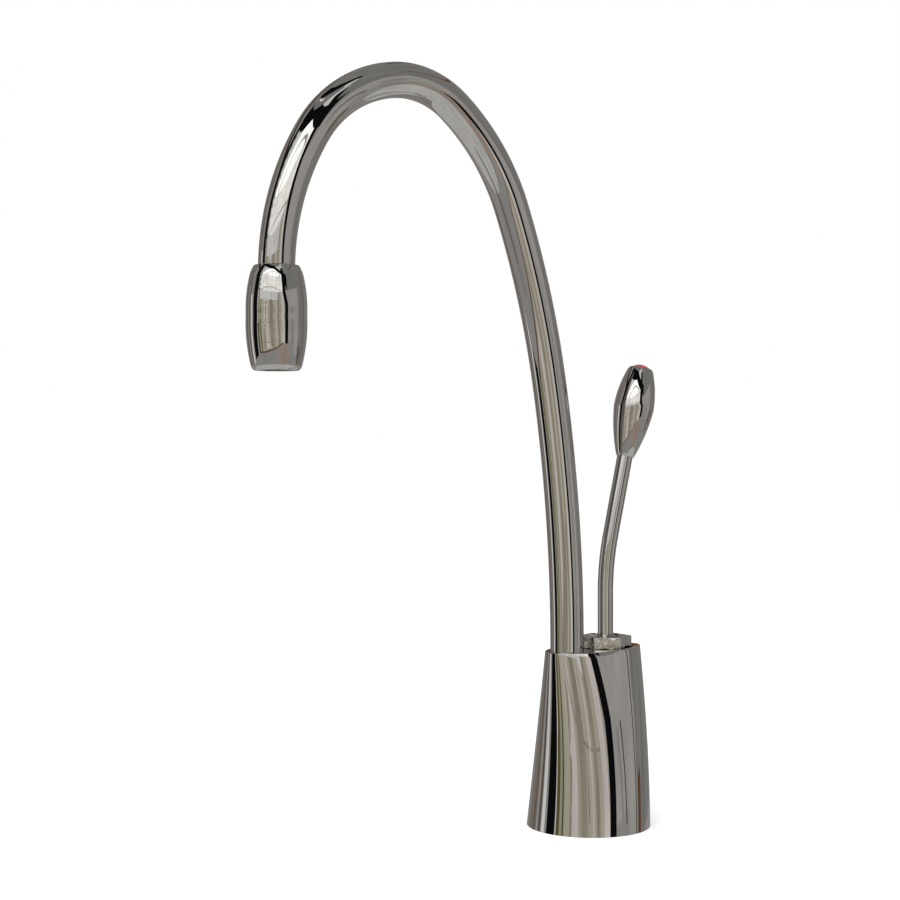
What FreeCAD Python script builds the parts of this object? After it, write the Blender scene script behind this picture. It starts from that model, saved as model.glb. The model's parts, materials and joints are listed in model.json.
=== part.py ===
import FreeCAD, Part
import math
import os

# Boiling water tap for a kitchen worktop, in millimetres.
# The origin is the middle of the base's underside, on the worktop. +Z is up and the spout points to -Y.

# ---- driving dimensions ----
# base casing: round at the worktop and drawn in to an oval at its sloping top
base_radius = 25.0
top_height = 71.4              # of the sloping top, above the origin
top_tilt = 1.9                 # degrees, falling towards the spout
top_front_reach = 19.2         # of the oval in front of the origin
casing_back_room = 3.7         # between the valve body and the oval's wall at the back
casing_side_lip = 2.7          # from the bonnet nut's corner out to the oval's side
casing_side_bow = 1.63         # how far the side lines bulge at half height
casing_back_bow = 0.53         # how far the middle line bulges to the back at half height
casing_wall = 1.5
casing_top_wall = 3.0
tube_front_lip = 2.0           # casing left in front of the tube at the top

# screws that hold the casing on the valve body, and their bosses
casing_screw_y = 1.0
casing_screw_radius = 1.6
casing_screw_head_radius = 2.8
casing_screw_head_depth = 1.6
casing_screw_length = 12.0
casing_boss_radius = 4.2
casing_boss_height = 12.0
casing_boss_sink = 1.13        # how deep the boss's upper end sinks into the casing's wall

# spout tube
tube_radius = 6.8
tube_wall = 1.2
tube_straight_rise = 1.1       # upright part of the tube above the casing's top
# (radius, degrees turned) of the gooseneck's tangent arcs, from the base to the outlet
gooseneck_arcs = ((663.0, 9.5), (369.0, 10.6), (87.5, 30.2), (34.0, 48.5), (47.4, 50.1), (102.2, 31.1))
outlet_straight = 5.3          # upright stretch of the tube inside the nozzle
spout_swivel = 90.0            # degrees each way

# spout foot, bush and socket; drops are measured from the socket's top
socket_drop = 14.2             # of the socket's top, below the casing's top
socket_depth = 23.2
bush_flange = 1.2
bush_length = 4.2              # of the bush below its flange
bush_wall = 0.9
foot_step = 2.3                # how much narrower the foot is than the tube
foot_wall = 2.0
foot_flange = 0.8
foot_plug_length = 10.0
foot_length = 18.7
stop_groove_drop = 6.7
stop_groove_depth = 1.2
stop_groove_height = 2.8
stop_screw_radius = 1.6
stop_screw_nose = 1.2
stop_screw_length = 6.0
spout_seal_drops = (11.2, 15.7)
seal_section = 0.62            # radius of a spout seal's round section
seal_groove_height = 1.9

# nozzle; steps are radii out from the tube, rises and drops are from its lower and upper end
nozzle_height = 38.3
nozzle_lap = 2.0               # of the nozzle up over the end of the last arc
nozzle_face_step = 1.4
nozzle_foot_step = 2.65
nozzle_foot_rise = 1.9
nozzle_foot_bow = 0.42         # how far the outline bulges between the face and the foot
nozzle_widest_step = 4.43
nozzle_widest_rise = 20.3
nozzle_lower_bow = 0.64
nozzle_shoulder_step = 3.2
nozzle_shoulder_drop = 4.2
nozzle_upper_bow = 0.43
nozzle_top_step = 1.6
nozzle_shoulder_bow = 0.26
nozzle_thread_step = 1.65
nozzle_lip = 2.5
nozzle_lip_width = 2.25
nozzle_inside_length = 30.5
straightener_height = 6.0
straightener_hole = 0.8
nozzle_seal_height = 2.0
nozzle_seal_width = 2.45
adaptor_wall = 1.55
adaptor_thread_length = 18.0

# bonnet nut, round the head of the valve cartridge
nut_height = 5.8
nut_seat_depth = 0.9           # of the nut's seat below the casing's top, at the nut's front corner
nut_skirt_length = 10.4
nut_skirt_wall = 1.55
nut_shoulder = 1.275           # from the thread out to the flats
nut_web = 2.0
nut_dish_rim = 0.875
nut_dish_depth = 0.9
axis_bridge = 1.39             # metal between the tube's hole and the nut's seat

# valve cartridge; rises are measured from the cartridge's lower end, the valve seat
cartridge_length = 20.0        # from the seat up to the nut's skirt
cartridge_ear = 2.85
cartridge_flange_height = 3.0
cartridge_flange_step = 1.8
cartridge_web = 1.5            # thickness of the web that holds the valve seat
outlet_chamber_radius = 4.5
outlet_chamber_rise = 7.0
seat_hole_radius = 2.6
cartridge_port_radius = 1.4
cartridge_seal_rise = 11.2
cartridge_seal_section = 0.9
cartridge_gasket_height = 1.2
spring_pocket_rise = 15.0
gallery_rise = 4.4
gallery_height = 4.0
gallery_depth = 1.0            # of the gallery outside the cartridge's barrel

# lever
pivot_rise = 0.1               # of the pivot above the nut's seat
lever_tilt = 12.0              # degrees, backwards
stem_radius = 3.25
stem_below_pivot = 2.8
stem_above_pivot = 23.5        # up to where the bend starts
stem_bend_radius = 105.0
stem_lean = 12.6               # degrees, of the upper stem and the knob
stem_lean_length = 33.2
stem_spigot_step = 0.75
stem_spigot_length = 9.0
pin_radius = 1.25
rocker_reach = 3.8             # from the pivot back to the rocker's pressing edge
rocker_height = 2.0
rocker_stud_radius = 0.9
rocker_stud_length = 0.8
rocker_swing = 1.0             # room in front of the rocker, which swings forwards under the pin

# knob, by radius and by height along its own axis; bows are how far its outline bulges
knob_neck_step = 0.4
knob_lower_bow = 0.73
knob_widest_radius = 8.28
knob_widest_height = 20.7
knob_upper_bow = 0.67
knob_shoulder_radius = 5.3
knob_shoulder_drop = 0.9
knob_rim_bow = 0.22
knob_face_radius = 4.65
knob_height = 37.3
button_radius = 4.0
button_depth = 1.6
button_dome = 1.6

# plunger, its washer and its spring
plunger_head_height = 1.6
plunger_head_reach = 4.6
plunger_rod_radius = 2.0
plunger_neck_radius = 1.2
plunger_collar_radius = 2.2
plunger_collar_height = 1.0
plunger_tail = 6.0             # of the plunger below the seat
plunger_seal_rise = 10.0
plunger_seal_section = 0.4
valve_washer_radius = 3.9
valve_washer_height = 1.8
washer_nut_flats = 5.0
washer_nut_height = 2.0
spring_wire_radius = 0.4
spring_turns = 5.5

# valve body
body_flange_height = 5.2
body_hub_wall = 2.0
body_hub_height = 6.0
body_block_drop = 9.2          # of the block's top below the socket's top
valve_boss_wall = 2.2
inlet_chamber_radius = 5.0
inlet_chamber_depth = 9.0      # below the seat
channel_radius = 2.0

# shank, gasket and fixings below the worktop
gasket_height = 2.8
shank_radius = 12.5
shank_wall = 2.3
shank_engagement = 8.0         # how far the shank screws into the valve body
shank_length = 52.0            # below the worktop's top
worktop = 30.0                 # thickness that the fixings are drawn up to
rubber_washer_height = 3.0
steel_washer_height = 1.5
fixing_washer_radius = 24.0
fixing_nut_wall = 4.5
fixing_nut_height = 9.0
fixing_nut_chamfer = 30.0      # degrees, of the nut's corners

# hose tails
tail_radius = 3.175
tail_bore = 2.0
tail_socket = 9.0
tail_bead_step = 0.525
tail_bead_height = 1.2
tail_free_length = 15.0
tail_angles = {"cold_inlet_tail": 90.0, "tank_feed_tail": 210.0, "hot_return_tail": 330.0}

# clearances
running_gap = 0.08             # radial, of a part that turns or slides in its seat
fixed_gap = 0.05               # radial, of a screwed, brazed or pressed joint
free_gap = 0.3                 # between parts that only pass each other

UP = FreeCAD.Vector(0, 0, 1)
ACROSS = FreeCAD.Vector(1, 0, 0)
BIG = 200.0                    # larger than the tap's base, for cuts that run right through


# ---- helpers ----
def vec(x, y, z):
    return FreeCAD.Vector(x, y, z)


def rod(radius, low, high, y=0.0, x=0.0):
    """Upright cylinder from one height to another."""
    return Part.makeCylinder(radius, high - low, vec(x, y, low), UP)


def ring(radius, bore, low, high, y=0.0, x=0.0):
    return rod(radius, low, high, y, x).cut(rod(bore, low, high, y, x))


def drilling(radius, start, end):
    """Cylinder between two points."""
    way = end.sub(start)
    return Part.makeCylinder(radius, way.Length, start, way)


def outline(start, *moves):
    """Closed wire in the XZ plane: a move is a point, or an arc's middle and end."""
    edges = []
    here = vec(start[0], 0, start[1])
    for move in moves + (start,):
        if isinstance(move[0], tuple):
            middle = vec(move[0][0], 0, move[0][1])
            there = vec(move[1][0], 0, move[1][1])
            edges.append(Part.Arc(here, middle, there).toShape())
        else:
            there = vec(move[0], 0, move[1])
            edges.append(Part.makeLine(here, there))
        here = there
    return Part.Wire(edges)


def turned(start, *moves):
    """Solid turned about the Z axis from an outline of (radius, height)."""
    solid = Part.Face(outline(start, *moves)).revolve(vec(0, 0, 0), UP, 360)
    if solid.Volume < 0:
        solid.reverse()
    return solid


def bowed(start, end, bow):
    """Middle and end of an arc of an outline that bulges outwards by bow on its way up."""
    outwards = end[0] - start[0]
    upwards = end[1] - start[1]
    length = math.hypot(outwards, upwards)
    middle_radius = (start[0] + end[0]) / 2 + bow * upwards / length
    middle_height = (start[1] + end[1]) / 2 - bow * outwards / length
    return (middle_radius, middle_height), end


def seal_ring(middle_radius, section, height, y=0.0):
    return Part.makeTorus(middle_radius, section, vec(0, y, height), UP)


def chamfered(nut, across_flats, low, high, degrees):
    """A nut whose corners are turned off to a cone at both ends."""
    flat = across_flats / 2
    corner = across_flats / math.sqrt(3)
    fall = (corner - flat) * math.tan(math.radians(degrees))
    return nut.common(turned((0.0, low), (flat, low), (corner, low + fall),
                             (corner, high - fall), (flat, high), (0.0, high)))


def hexagon(across_flats, low, high, y=0.0):
    """Upright hexagonal prism with flats to the front and the back."""
    corner = across_flats / math.sqrt(3)
    angles = [math.radians(60 * k) for k in range(7)]
    points = [vec(corner * math.cos(a), y + corner * math.sin(a), low) for a in angles]
    return Part.Face(Part.makePolygon(points)).extrude(vec(0, 0, high - low))


def milled_slot(radius, reach, low, high, y):
    """Upright solid with a round front and flat sides that run back by reach."""
    side = Part.makeBox(2 * radius, reach, high - low, vec(-radius, y, low))
    return rod(radius, low, high, y).fuse(side).removeSplitter()


def casing_section(height, inset):
    """Middle, half length and half width of the casing's section at a height, drawn in by inset."""
    share = height / top_height
    bulge = 4 * share * (1 - share)
    front = -base_radius + (base_radius - top_front_reach) * share
    back = base_radius - (base_radius - top_back_reach) * share
    half_width = base_radius - (base_radius - top_half_width) * share + casing_side_bow * bulge
    return (front + back) / 2 + casing_back_bow * bulge, (back - front) / 2 - inset, half_width - inset


def casing_room(height):
    """Radius about the Z axis of what fits inside the casing up to a height, with clearance."""
    middle, half_length, half_width = casing_section(height, casing_wall)
    return min(half_length - abs(middle), half_width) - free_gap


def casing_form(inset, drop):
    """The casing's tapered form, drawn in by inset, with its sloping top lowered by drop."""
    ovals = []
    for step in range(5):
        height = step * (top_height + 6.0) / 4
        middle, half_length, half_width = casing_section(height, inset)
        centre = vec(0, middle, height)
        if step == 0:
            oval = Part.makeCircle(half_length, centre, UP, 90, 450)
        else:
            oval = Part.Ellipse(centre + vec(0, half_length, 0), centre - vec(half_width, 0, 0),
                                centre).toShape()
        ovals.append(Part.Wire(oval))
    form = Part.makeLoft(ovals, True, False)
    above = Part.makeBox(BIG, BIG, BIG, vec(-BIG / 2, -BIG / 2, 0))
    above.rotate(vec(0, 0, 0), ACROSS, top_tilt)
    above.translate(vec(0, 0, top_height - drop))
    return form.cut(above)


def tail_place(name):
    angle = math.radians(tail_angles[name])
    return tail_circle * math.cos(angle), tail_circle * math.sin(angle)


def gooseneck_joints():
    """Each arc's centre, start, lean at the start and turn; then where the last arc ends."""
    y = spout_axis_y
    z = tube_straight_top
    angle = 0.0
    joints = []
    for radius, turn in gooseneck_arcs:
        centre_y = y - radius * math.cos(math.radians(angle))
        centre_z = z - radius * math.sin(math.radians(angle))
        joints.append((centre_y, centre_z, y, z, angle, turn))
        angle += turn
        y = centre_y + radius * math.cos(math.radians(angle))
        z = centre_z + radius * math.sin(math.radians(angle))
    return joints, y, z


# ---- worked out from the driving dimensions ----
top_slope = math.tan(math.radians(top_tilt))
spout_axis_y = -top_front_reach + tube_front_lip + tube_radius
socket_top = top_height - socket_drop
socket_floor = socket_top - socket_depth
tube_straight_top = top_height + tube_straight_rise
tube_bore = tube_radius - tube_wall
foot_radius = tube_radius - foot_step
foot_bore = foot_radius - foot_wall
foot_bottom = socket_top - foot_length
stop_groove_z = socket_top - stop_groove_drop
bush_top = socket_top + bush_flange
bush_bore = foot_radius + running_gap
bush_radius = bush_bore + bush_wall
foot_flange_bottom = bush_top + fixed_gap
tube_bottom = foot_flange_bottom + foot_flange

slot_half_width = stem_radius + free_gap
cartridge_head_radius = slot_half_width + cartridge_ear
nut_bore = cartridge_head_radius + fixed_gap
nut_thread_radius = nut_bore + nut_skirt_wall
nut_across_flats = 2 * (nut_thread_radius + nut_shoulder)
nut_corner = nut_across_flats / math.sqrt(3)
valve_axis_y = spout_axis_y + tube_radius + axis_bridge + nut_corner
nut_seat = top_height + top_slope * (valve_axis_y - nut_corner) - nut_seat_depth
nut_top = nut_seat + nut_height
nut_bottom = nut_seat - nut_skirt_length
nut_ceiling = nut_top - nut_web
lever_pivot_z = nut_seat + pivot_rise
tilt = math.radians(lever_tilt)
nut_mouth_radius = (nut_top - lever_pivot_z) * math.tan(tilt) + stem_radius / math.cos(tilt) + free_gap

stem_bottom = lever_pivot_z - stem_below_pivot
stem_bend_start = lever_pivot_z + stem_above_pivot
stem_spigot_radius = stem_radius - stem_spigot_step
rocker_bottom = stem_bottom - rocker_height
plunger_head_bottom = rocker_bottom - plunger_head_height
plunger_travel = rocker_reach * tilt
spring_coil_radius = plunger_rod_radius + 2 * spring_wire_radius

cartridge_top = nut_ceiling - free_gap
cartridge_flange_bottom = nut_bottom - cartridge_flange_height
cartridge_bottom = nut_bottom - cartridge_length
cartridge_barrel_radius = nut_thread_radius - cartridge_flange_step
cartridge_slot_floor = plunger_head_bottom - plunger_travel - free_gap
outlet_chamber_top = cartridge_bottom + outlet_chamber_rise
cartridge_seal_z = cartridge_bottom + cartridge_seal_rise
cartridge_gasket_bottom = cartridge_bottom - cartridge_gasket_height
spring_pocket_floor = cartridge_bottom + spring_pocket_rise
spring_pocket_radius = slot_half_width - fixed_gap
gallery_z = cartridge_bottom + gallery_rise
gallery_radius = cartridge_barrel_radius + gallery_depth
plunger_seal_z = cartridge_bottom + plunger_seal_rise
inlet_chamber_floor = cartridge_bottom - inlet_chamber_depth

flange_top = gasket_height + body_flange_height
body_hub_radius = shank_radius + body_hub_wall
body_block_top = socket_top - body_block_drop
valve_boss_radius = nut_thread_radius + valve_boss_wall
valve_boss_top = top_height - casing_top_wall + top_slope * (valve_axis_y - valve_boss_radius) - free_gap
hot_channel_z = socket_floor + channel_radius + free_gap
pin_length = 2 * (cartridge_head_radius - free_gap)

# the oval top goes round the valve body at the back and round the nut at the sides
top_back_reach = valve_axis_y + valve_boss_radius + casing_back_room + casing_wall
top_half_width = nut_corner + casing_side_lip
boss_top = flange_top + casing_boss_height
oval_middle, oval_half_length, oval_half_width = casing_section(boss_top, casing_wall)
boss_wall_x = oval_half_width * math.sqrt(1 - ((casing_screw_y - oval_middle) / oval_half_length) ** 2)
casing_screw_x = boss_wall_x - casing_boss_radius + casing_boss_sink

shank_top = gasket_height + shank_engagement
shank_bore = shank_radius - shank_wall
tail_circle = shank_bore - tail_radius - tail_bead_step - free_gap
shank_bottom = -shank_length
tail_bead_bottom = shank_bottom + tail_bead_height
rubber_washer_bottom = -worktop - rubber_washer_height
steel_washer_bottom = rubber_washer_bottom - steel_washer_height
fixing_nut_bottom = steel_washer_bottom - fixing_nut_height
fixing_nut_flats = 2 * (shank_radius + fixing_nut_wall)
gasket_hole = shank_radius + free_gap

bend_joints, outlet_y, bends_end_z = gooseneck_joints()
tube_end_z = bends_end_z - outlet_straight
nozzle_top = bends_end_z + nozzle_lap
nozzle_bottom = nozzle_top - nozzle_height
nozzle_thread_radius = tube_radius + nozzle_thread_step
nozzle_mouth_radius = nozzle_thread_radius - nozzle_lip_width
nozzle_seal_bore = nozzle_thread_radius - nozzle_seal_width
straightener_bottom = nozzle_bottom + nozzle_lip
nozzle_seal_bottom = straightener_bottom + straightener_height
adaptor_bottom = nozzle_seal_bottom + nozzle_seal_height
adaptor_thread_top = adaptor_bottom + adaptor_thread_length


# ---- the base ----
def casing_screw_sides():
    return (-casing_screw_x, casing_screw_x)


def base_shell():
    outside = casing_form(0.0, 0.0)
    inside = casing_form(casing_wall, casing_top_wall)
    shell = outside.cut(inside)
    hub_room = rod(body_hub_radius + free_gap, flange_top, boss_top)
    for x in casing_screw_sides():
        boss = rod(casing_boss_radius, flange_top, boss_top, casing_screw_y, x).cut(hub_room)
        hole_top = gasket_height + casing_screw_length + 1.0
        hole = rod(casing_screw_radius + fixed_gap, flange_top, hole_top, casing_screw_y, x)
        shell = shell.fuse(boss.common(outside)).cut(hole)
    shell = shell.cut(rod(tube_radius + running_gap, socket_top, BIG, spout_axis_y))
    shell = shell.cut(rod(nut_thread_radius + free_gap, socket_top, BIG, valve_axis_y))
    return shell.cut(rod(nut_corner + free_gap, nut_seat, BIG, valve_axis_y))


def body_outside():
    """Flange, hub, block and the two bosses of the brass valve body."""
    body = rod(casing_room(flange_top), gasket_height, flange_top)
    body = body.fuse(rod(body_hub_radius, gasket_height, flange_top + body_hub_height))
    half_width = tail_place("hot_return_tail")[0] + tail_radius + free_gap
    block = Part.makeBox(2 * half_width, valve_axis_y - spout_axis_y, body_block_top - flange_top,
                         vec(-half_width, spout_axis_y, flange_top))
    front = rod(tube_radius, flange_top, socket_top, spout_axis_y)
    body = body.fuse(block.common(rod(body_hub_radius, flange_top, body_block_top)))
    body = body.fuse(front)
    return body.fuse(rod(valve_boss_radius, flange_top, valve_boss_top, valve_axis_y))


def waterways():
    """Channels from the three hose tails to the valve and to the spout."""
    feed_x, feed_y = tail_place("tank_feed_tail")
    hot_x, hot_y = tail_place("hot_return_tail")
    cold_x, cold_y = tail_place("cold_inlet_tail")
    cold = rod(channel_radius, shank_top, inlet_chamber_floor + channel_radius, cold_y, cold_x)
    feed = rod(channel_radius, shank_top, gallery_z, feed_y, feed_x)
    feed_across = drilling(channel_radius, vec(feed_x, feed_y, gallery_z), vec(0, valve_axis_y, gallery_z))
    hot = rod(channel_radius, shank_top, hot_channel_z, hot_y, hot_x)
    hot_across = drilling(channel_radius, vec(hot_x, hot_y, hot_channel_z),
                          vec(0, spout_axis_y, hot_channel_z))
    return [cold, feed, feed_across, hot, hot_across]


def valve_body():
    body = body_outside()
    cuts = waterways()
    cuts.append(rod(shank_radius + fixed_gap, gasket_height, shank_top))
    for name in tail_angles:
        x, y = tail_place(name)
        cuts.append(rod(tail_radius + fixed_gap, shank_top, shank_top + tail_socket, y, x))
    for x in casing_screw_sides():
        cuts.append(rod(casing_screw_radius + free_gap, gasket_height, flange_top, casing_screw_y, x))
        head = Part.makeCone(casing_screw_head_radius + free_gap, casing_screw_radius + free_gap,
                             casing_screw_head_depth + free_gap, vec(x, casing_screw_y, gasket_height), UP)
        cuts.append(head)
    # spout socket, with the wider seat of the bush above it
    cuts.append(rod(foot_radius + running_gap, socket_floor, socket_top, spout_axis_y))
    cuts.append(rod(bush_radius + fixed_gap, socket_top - bush_length, socket_top, spout_axis_y))
    cuts.append(drilling(stop_screw_radius + fixed_gap, vec(0, spout_axis_y, stop_groove_z),
                         vec(base_radius, spout_axis_y, stop_groove_z)))
    # valve chamber
    barrel_bore = cartridge_barrel_radius + fixed_gap
    cuts.append(rod(inlet_chamber_radius, inlet_chamber_floor, cartridge_gasket_bottom, valve_axis_y))
    cuts.append(rod(barrel_bore, cartridge_gasket_bottom, cartridge_flange_bottom, valve_axis_y))
    cuts.append(rod(nut_thread_radius + fixed_gap, cartridge_flange_bottom, valve_boss_top, valve_axis_y))
    gallery_low = gallery_z - gallery_height / 2
    cuts.append(rod(gallery_radius, gallery_low, gallery_low + gallery_height, valve_axis_y))
    for cut in cuts:
        body = body.cut(cut)
    return body


def spout_bush():
    sleeve = ring(bush_radius, bush_bore, socket_top - bush_length, bush_top, spout_axis_y)
    return sleeve.fuse(ring(tube_radius, bush_bore, socket_top, bush_top, spout_axis_y))


def spout_stop_screw():
    """Grub screw whose nose stands in the spout foot's groove and stops the swivel."""
    nose_start = foot_radius - stop_groove_depth + free_gap
    thread_start = foot_radius + free_gap
    nose = drilling(stop_screw_nose, vec(nose_start, spout_axis_y, stop_groove_z),
                    vec(thread_start, spout_axis_y, stop_groove_z))
    thread_end = vec(thread_start + stop_screw_length, spout_axis_y, stop_groove_z)
    thread = drilling(stop_screw_radius, vec(thread_start, spout_axis_y, stop_groove_z), thread_end)
    slot_depth = 1.0
    slot = Part.makeBox(slot_depth, 0.6, 2 * stop_screw_radius,
                        vec(thread_end.x - slot_depth, spout_axis_y - 0.3, stop_groove_z - stop_screw_radius))
    return nose.fuse(thread).cut(slot)


def bonnet_nut():
    nut = hexagon(nut_across_flats, nut_seat, nut_top, valve_axis_y)
    nut = nut.fuse(rod(nut_thread_radius, nut_bottom, nut_seat, valve_axis_y))
    nut = nut.cut(rod(nut_bore, nut_bottom, nut_ceiling, valve_axis_y))
    nut = nut.cut(rod(nut_mouth_radius, nut_bottom, nut_top, valve_axis_y))
    dish = Part.makeCone(nut_mouth_radius, nut_across_flats / 2 - nut_dish_rim, nut_dish_depth,
                         vec(0, valve_axis_y, nut_top - nut_dish_depth), UP)
    return nut.cut(dish)


def valve_cartridge():
    """Turned brass sleeve: forked head for the lever, spring pocket, rod guide and valve seat."""
    body = rod(cartridge_barrel_radius, cartridge_bottom, cartridge_flange_bottom, valve_axis_y)
    body = body.fuse(rod(nut_thread_radius - fixed_gap, cartridge_flange_bottom, nut_bottom, valve_axis_y))
    body = body.fuse(rod(cartridge_head_radius, nut_bottom, cartridge_top, valve_axis_y))
    cuts = [
        # above the pin the slot's front is the lever's stop, and below it the rocker swings forwards
        milled_slot(slot_half_width, nut_thread_radius, lever_pivot_z, cartridge_top,
                    valve_axis_y + free_gap - fixed_gap),
        milled_slot(slot_half_width, nut_thread_radius, cartridge_slot_floor, lever_pivot_z,
                    valve_axis_y - rocker_swing),
        rod(spring_pocket_radius, spring_pocket_floor, cartridge_slot_floor, valve_axis_y),
        rod(plunger_rod_radius + running_gap, outlet_chamber_top, spring_pocket_floor, valve_axis_y),
        rod(outlet_chamber_radius, cartridge_bottom + cartridge_web, outlet_chamber_top, valve_axis_y),
        rod(seat_hole_radius, cartridge_bottom, cartridge_bottom + cartridge_web, valve_axis_y),
        drilling(pin_radius + fixed_gap, vec(-base_radius, valve_axis_y, lever_pivot_z),
                 vec(base_radius, valve_axis_y, lever_pivot_z)),
        drilling(cartridge_port_radius, vec(-base_radius, valve_axis_y, gallery_z),
                 vec(base_radius, valve_axis_y, gallery_z)),
        drilling(cartridge_port_radius, vec(0, -base_radius, gallery_z), vec(0, base_radius, gallery_z)),
        ring(base_radius, cartridge_barrel_radius - 1.5 * cartridge_seal_section,
             cartridge_seal_z - 1.4 * cartridge_seal_section,
             cartridge_seal_z + 1.4 * cartridge_seal_section, valve_axis_y),
    ]
    for cut in cuts:
        body = body.cut(cut)
    return body


def cartridge_seal():
    middle = cartridge_barrel_radius - 0.5 * cartridge_seal_section
    return seal_ring(middle, 0.5 * cartridge_seal_section, cartridge_seal_z, valve_axis_y)


def cartridge_gasket():
    return ring(cartridge_barrel_radius, inlet_chamber_radius + fixed_gap,
                cartridge_gasket_bottom, cartridge_bottom, valve_axis_y)


def pivot_pin():
    return drilling(pin_radius, vec(-pin_length / 2, valve_axis_y, lever_pivot_z),
                    vec(pin_length / 2, valve_axis_y, lever_pivot_z))


def return_spring():
    """Compression spring, wound from half turns that climb alike."""
    bottom = spring_pocket_floor + spring_wire_radius
    climb = (plunger_head_bottom - spring_wire_radius - bottom) / (2 * spring_turns)
    edges = []
    for half in range(int(2 * spring_turns)):
        side = 1 if half % 2 == 0 else -1
        low = bottom + half * climb
        start = vec(side * spring_coil_radius, valve_axis_y, low)
        middle = vec(0, valve_axis_y + side * spring_coil_radius, low + climb / 2)
        end = vec(-side * spring_coil_radius, valve_axis_y, low + climb)
        edges.append(Part.Arc(start, middle, end).toShape())
    section = Part.makeCircle(spring_wire_radius, vec(spring_coil_radius, valve_axis_y, bottom),
                              vec(0, 1, 0))
    print("least gap between the spring's turns", round(2 * climb - 2 * spring_wire_radius, 2))
    return Part.Wire(edges).makePipeShell([Part.Wire(section)], True, False)


def casing_screws():
    screws = []
    for x in casing_screw_sides():
        head = Part.makeCone(casing_screw_head_radius, casing_screw_radius, casing_screw_head_depth,
                             vec(x, casing_screw_y, gasket_height), UP)
        top = gasket_height + casing_screw_length
        shank = rod(casing_screw_radius, gasket_height, top, casing_screw_y, x)
        socket = rod(casing_screw_radius / 2, gasket_height, gasket_height + 1.0, casing_screw_y, x)
        screws.append(head.fuse(shank).cut(socket))
    return Part.makeCompound(screws)


def threaded_shank():
    return ring(shank_radius, shank_bore, shank_bottom, shank_top)


def base_gasket():
    return ring(casing_room(gasket_height), gasket_hole, 0.0, gasket_height)


def fixing_rubber_washer():
    return ring(fixing_washer_radius, gasket_hole, rubber_washer_bottom, -worktop)


def fixing_steel_washer():
    return ring(fixing_washer_radius, gasket_hole, steel_washer_bottom, rubber_washer_bottom)


def fixing_nut():
    nut = hexagon(fixing_nut_flats, fixing_nut_bottom, steel_washer_bottom)
    nut = chamfered(nut, fixing_nut_flats, fixing_nut_bottom, steel_washer_bottom, fixing_nut_chamfer)
    return nut.cut(rod(shank_radius + fixed_gap, fixing_nut_bottom, steel_washer_bottom))


def hose_tail(name):
    """Plain tube end with a bead that shows how far a push-on hose goes."""
    x, y = tail_place(name)
    top = shank_top + tail_socket
    bottom = tail_bead_bottom - tail_free_length
    tail = rod(tail_radius, bottom, top, y, x)
    bead = rod(tail_radius + tail_bead_step, tail_bead_bottom, tail_bead_bottom + tail_bead_height, y, x)
    tail = tail.fuse(bead)
    return tail.cut(rod(tail_bore, bottom, top, y, x))


# ---- the spout ----
def tube_section(y, z, angle):
    """Ring face across the tube, where the tube leans by angle towards the front."""
    way = vec(0, -math.sin(math.radians(angle)), math.cos(math.radians(angle)))
    outer = Part.Wire(Part.makeCircle(tube_radius, vec(0, y, z), way))
    inner = Part.Wire(Part.makeCircle(tube_bore, vec(0, y, z), way))
    return Part.Face(outer).cut(Part.Face(inner)).Faces[0]


def spout_tube():
    tube = ring(tube_radius, tube_bore, tube_bottom, tube_straight_top, spout_axis_y)
    pieces = []
    for centre_y, centre_z, y, z, angle, turn in bend_joints:
        pieces.append(tube_section(y, z, angle).revolve(vec(0, centre_y, centre_z), ACROSS, turn))
    pieces.append(ring(tube_radius, tube_bore, tube_end_z, bends_end_z, outlet_y))
    return tube.fuse(pieces)


def spout_foot():
    """Brass foot brazed into the tube: thrust flange, stop groove and two seal grooves."""
    foot = rod(foot_radius, foot_bottom, foot_flange_bottom)
    foot = foot.fuse(rod(tube_radius - running_gap, foot_flange_bottom, tube_bottom))
    foot = foot.fuse(rod(tube_bore - fixed_gap, tube_bottom, tube_bottom + foot_plug_length))
    foot = foot.cut(rod(foot_bore, foot_bottom, tube_bottom + foot_plug_length))
    seal_floor = foot_radius + running_gap - 2 * seal_section - fixed_gap
    for drop in spout_seal_drops:
        low = socket_top - drop - seal_groove_height / 2
        foot = foot.cut(ring(tube_radius, seal_floor, low, low + seal_groove_height))
    low = stop_groove_z - stop_groove_height / 2
    floor = foot_radius - stop_groove_depth
    half = spout_swivel + math.degrees(math.asin((stop_screw_nose + running_gap) / floor))
    section = Part.makePlane(2 * stop_groove_depth, stop_groove_height, vec(floor, 0, low),
                             vec(0, -1, 0), ACROSS)
    section.rotate(vec(0, 0, 0), UP, -half)
    groove = section.revolve(vec(0, 0, 0), UP, 2 * half)
    foot = foot.cut(groove)
    foot.translate(vec(0, spout_axis_y, 0))
    return foot


def spout_seal(drop):
    middle = foot_radius + running_gap - seal_section - fixed_gap / 2
    return seal_ring(middle, seal_section, socket_top - drop, spout_axis_y)


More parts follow.
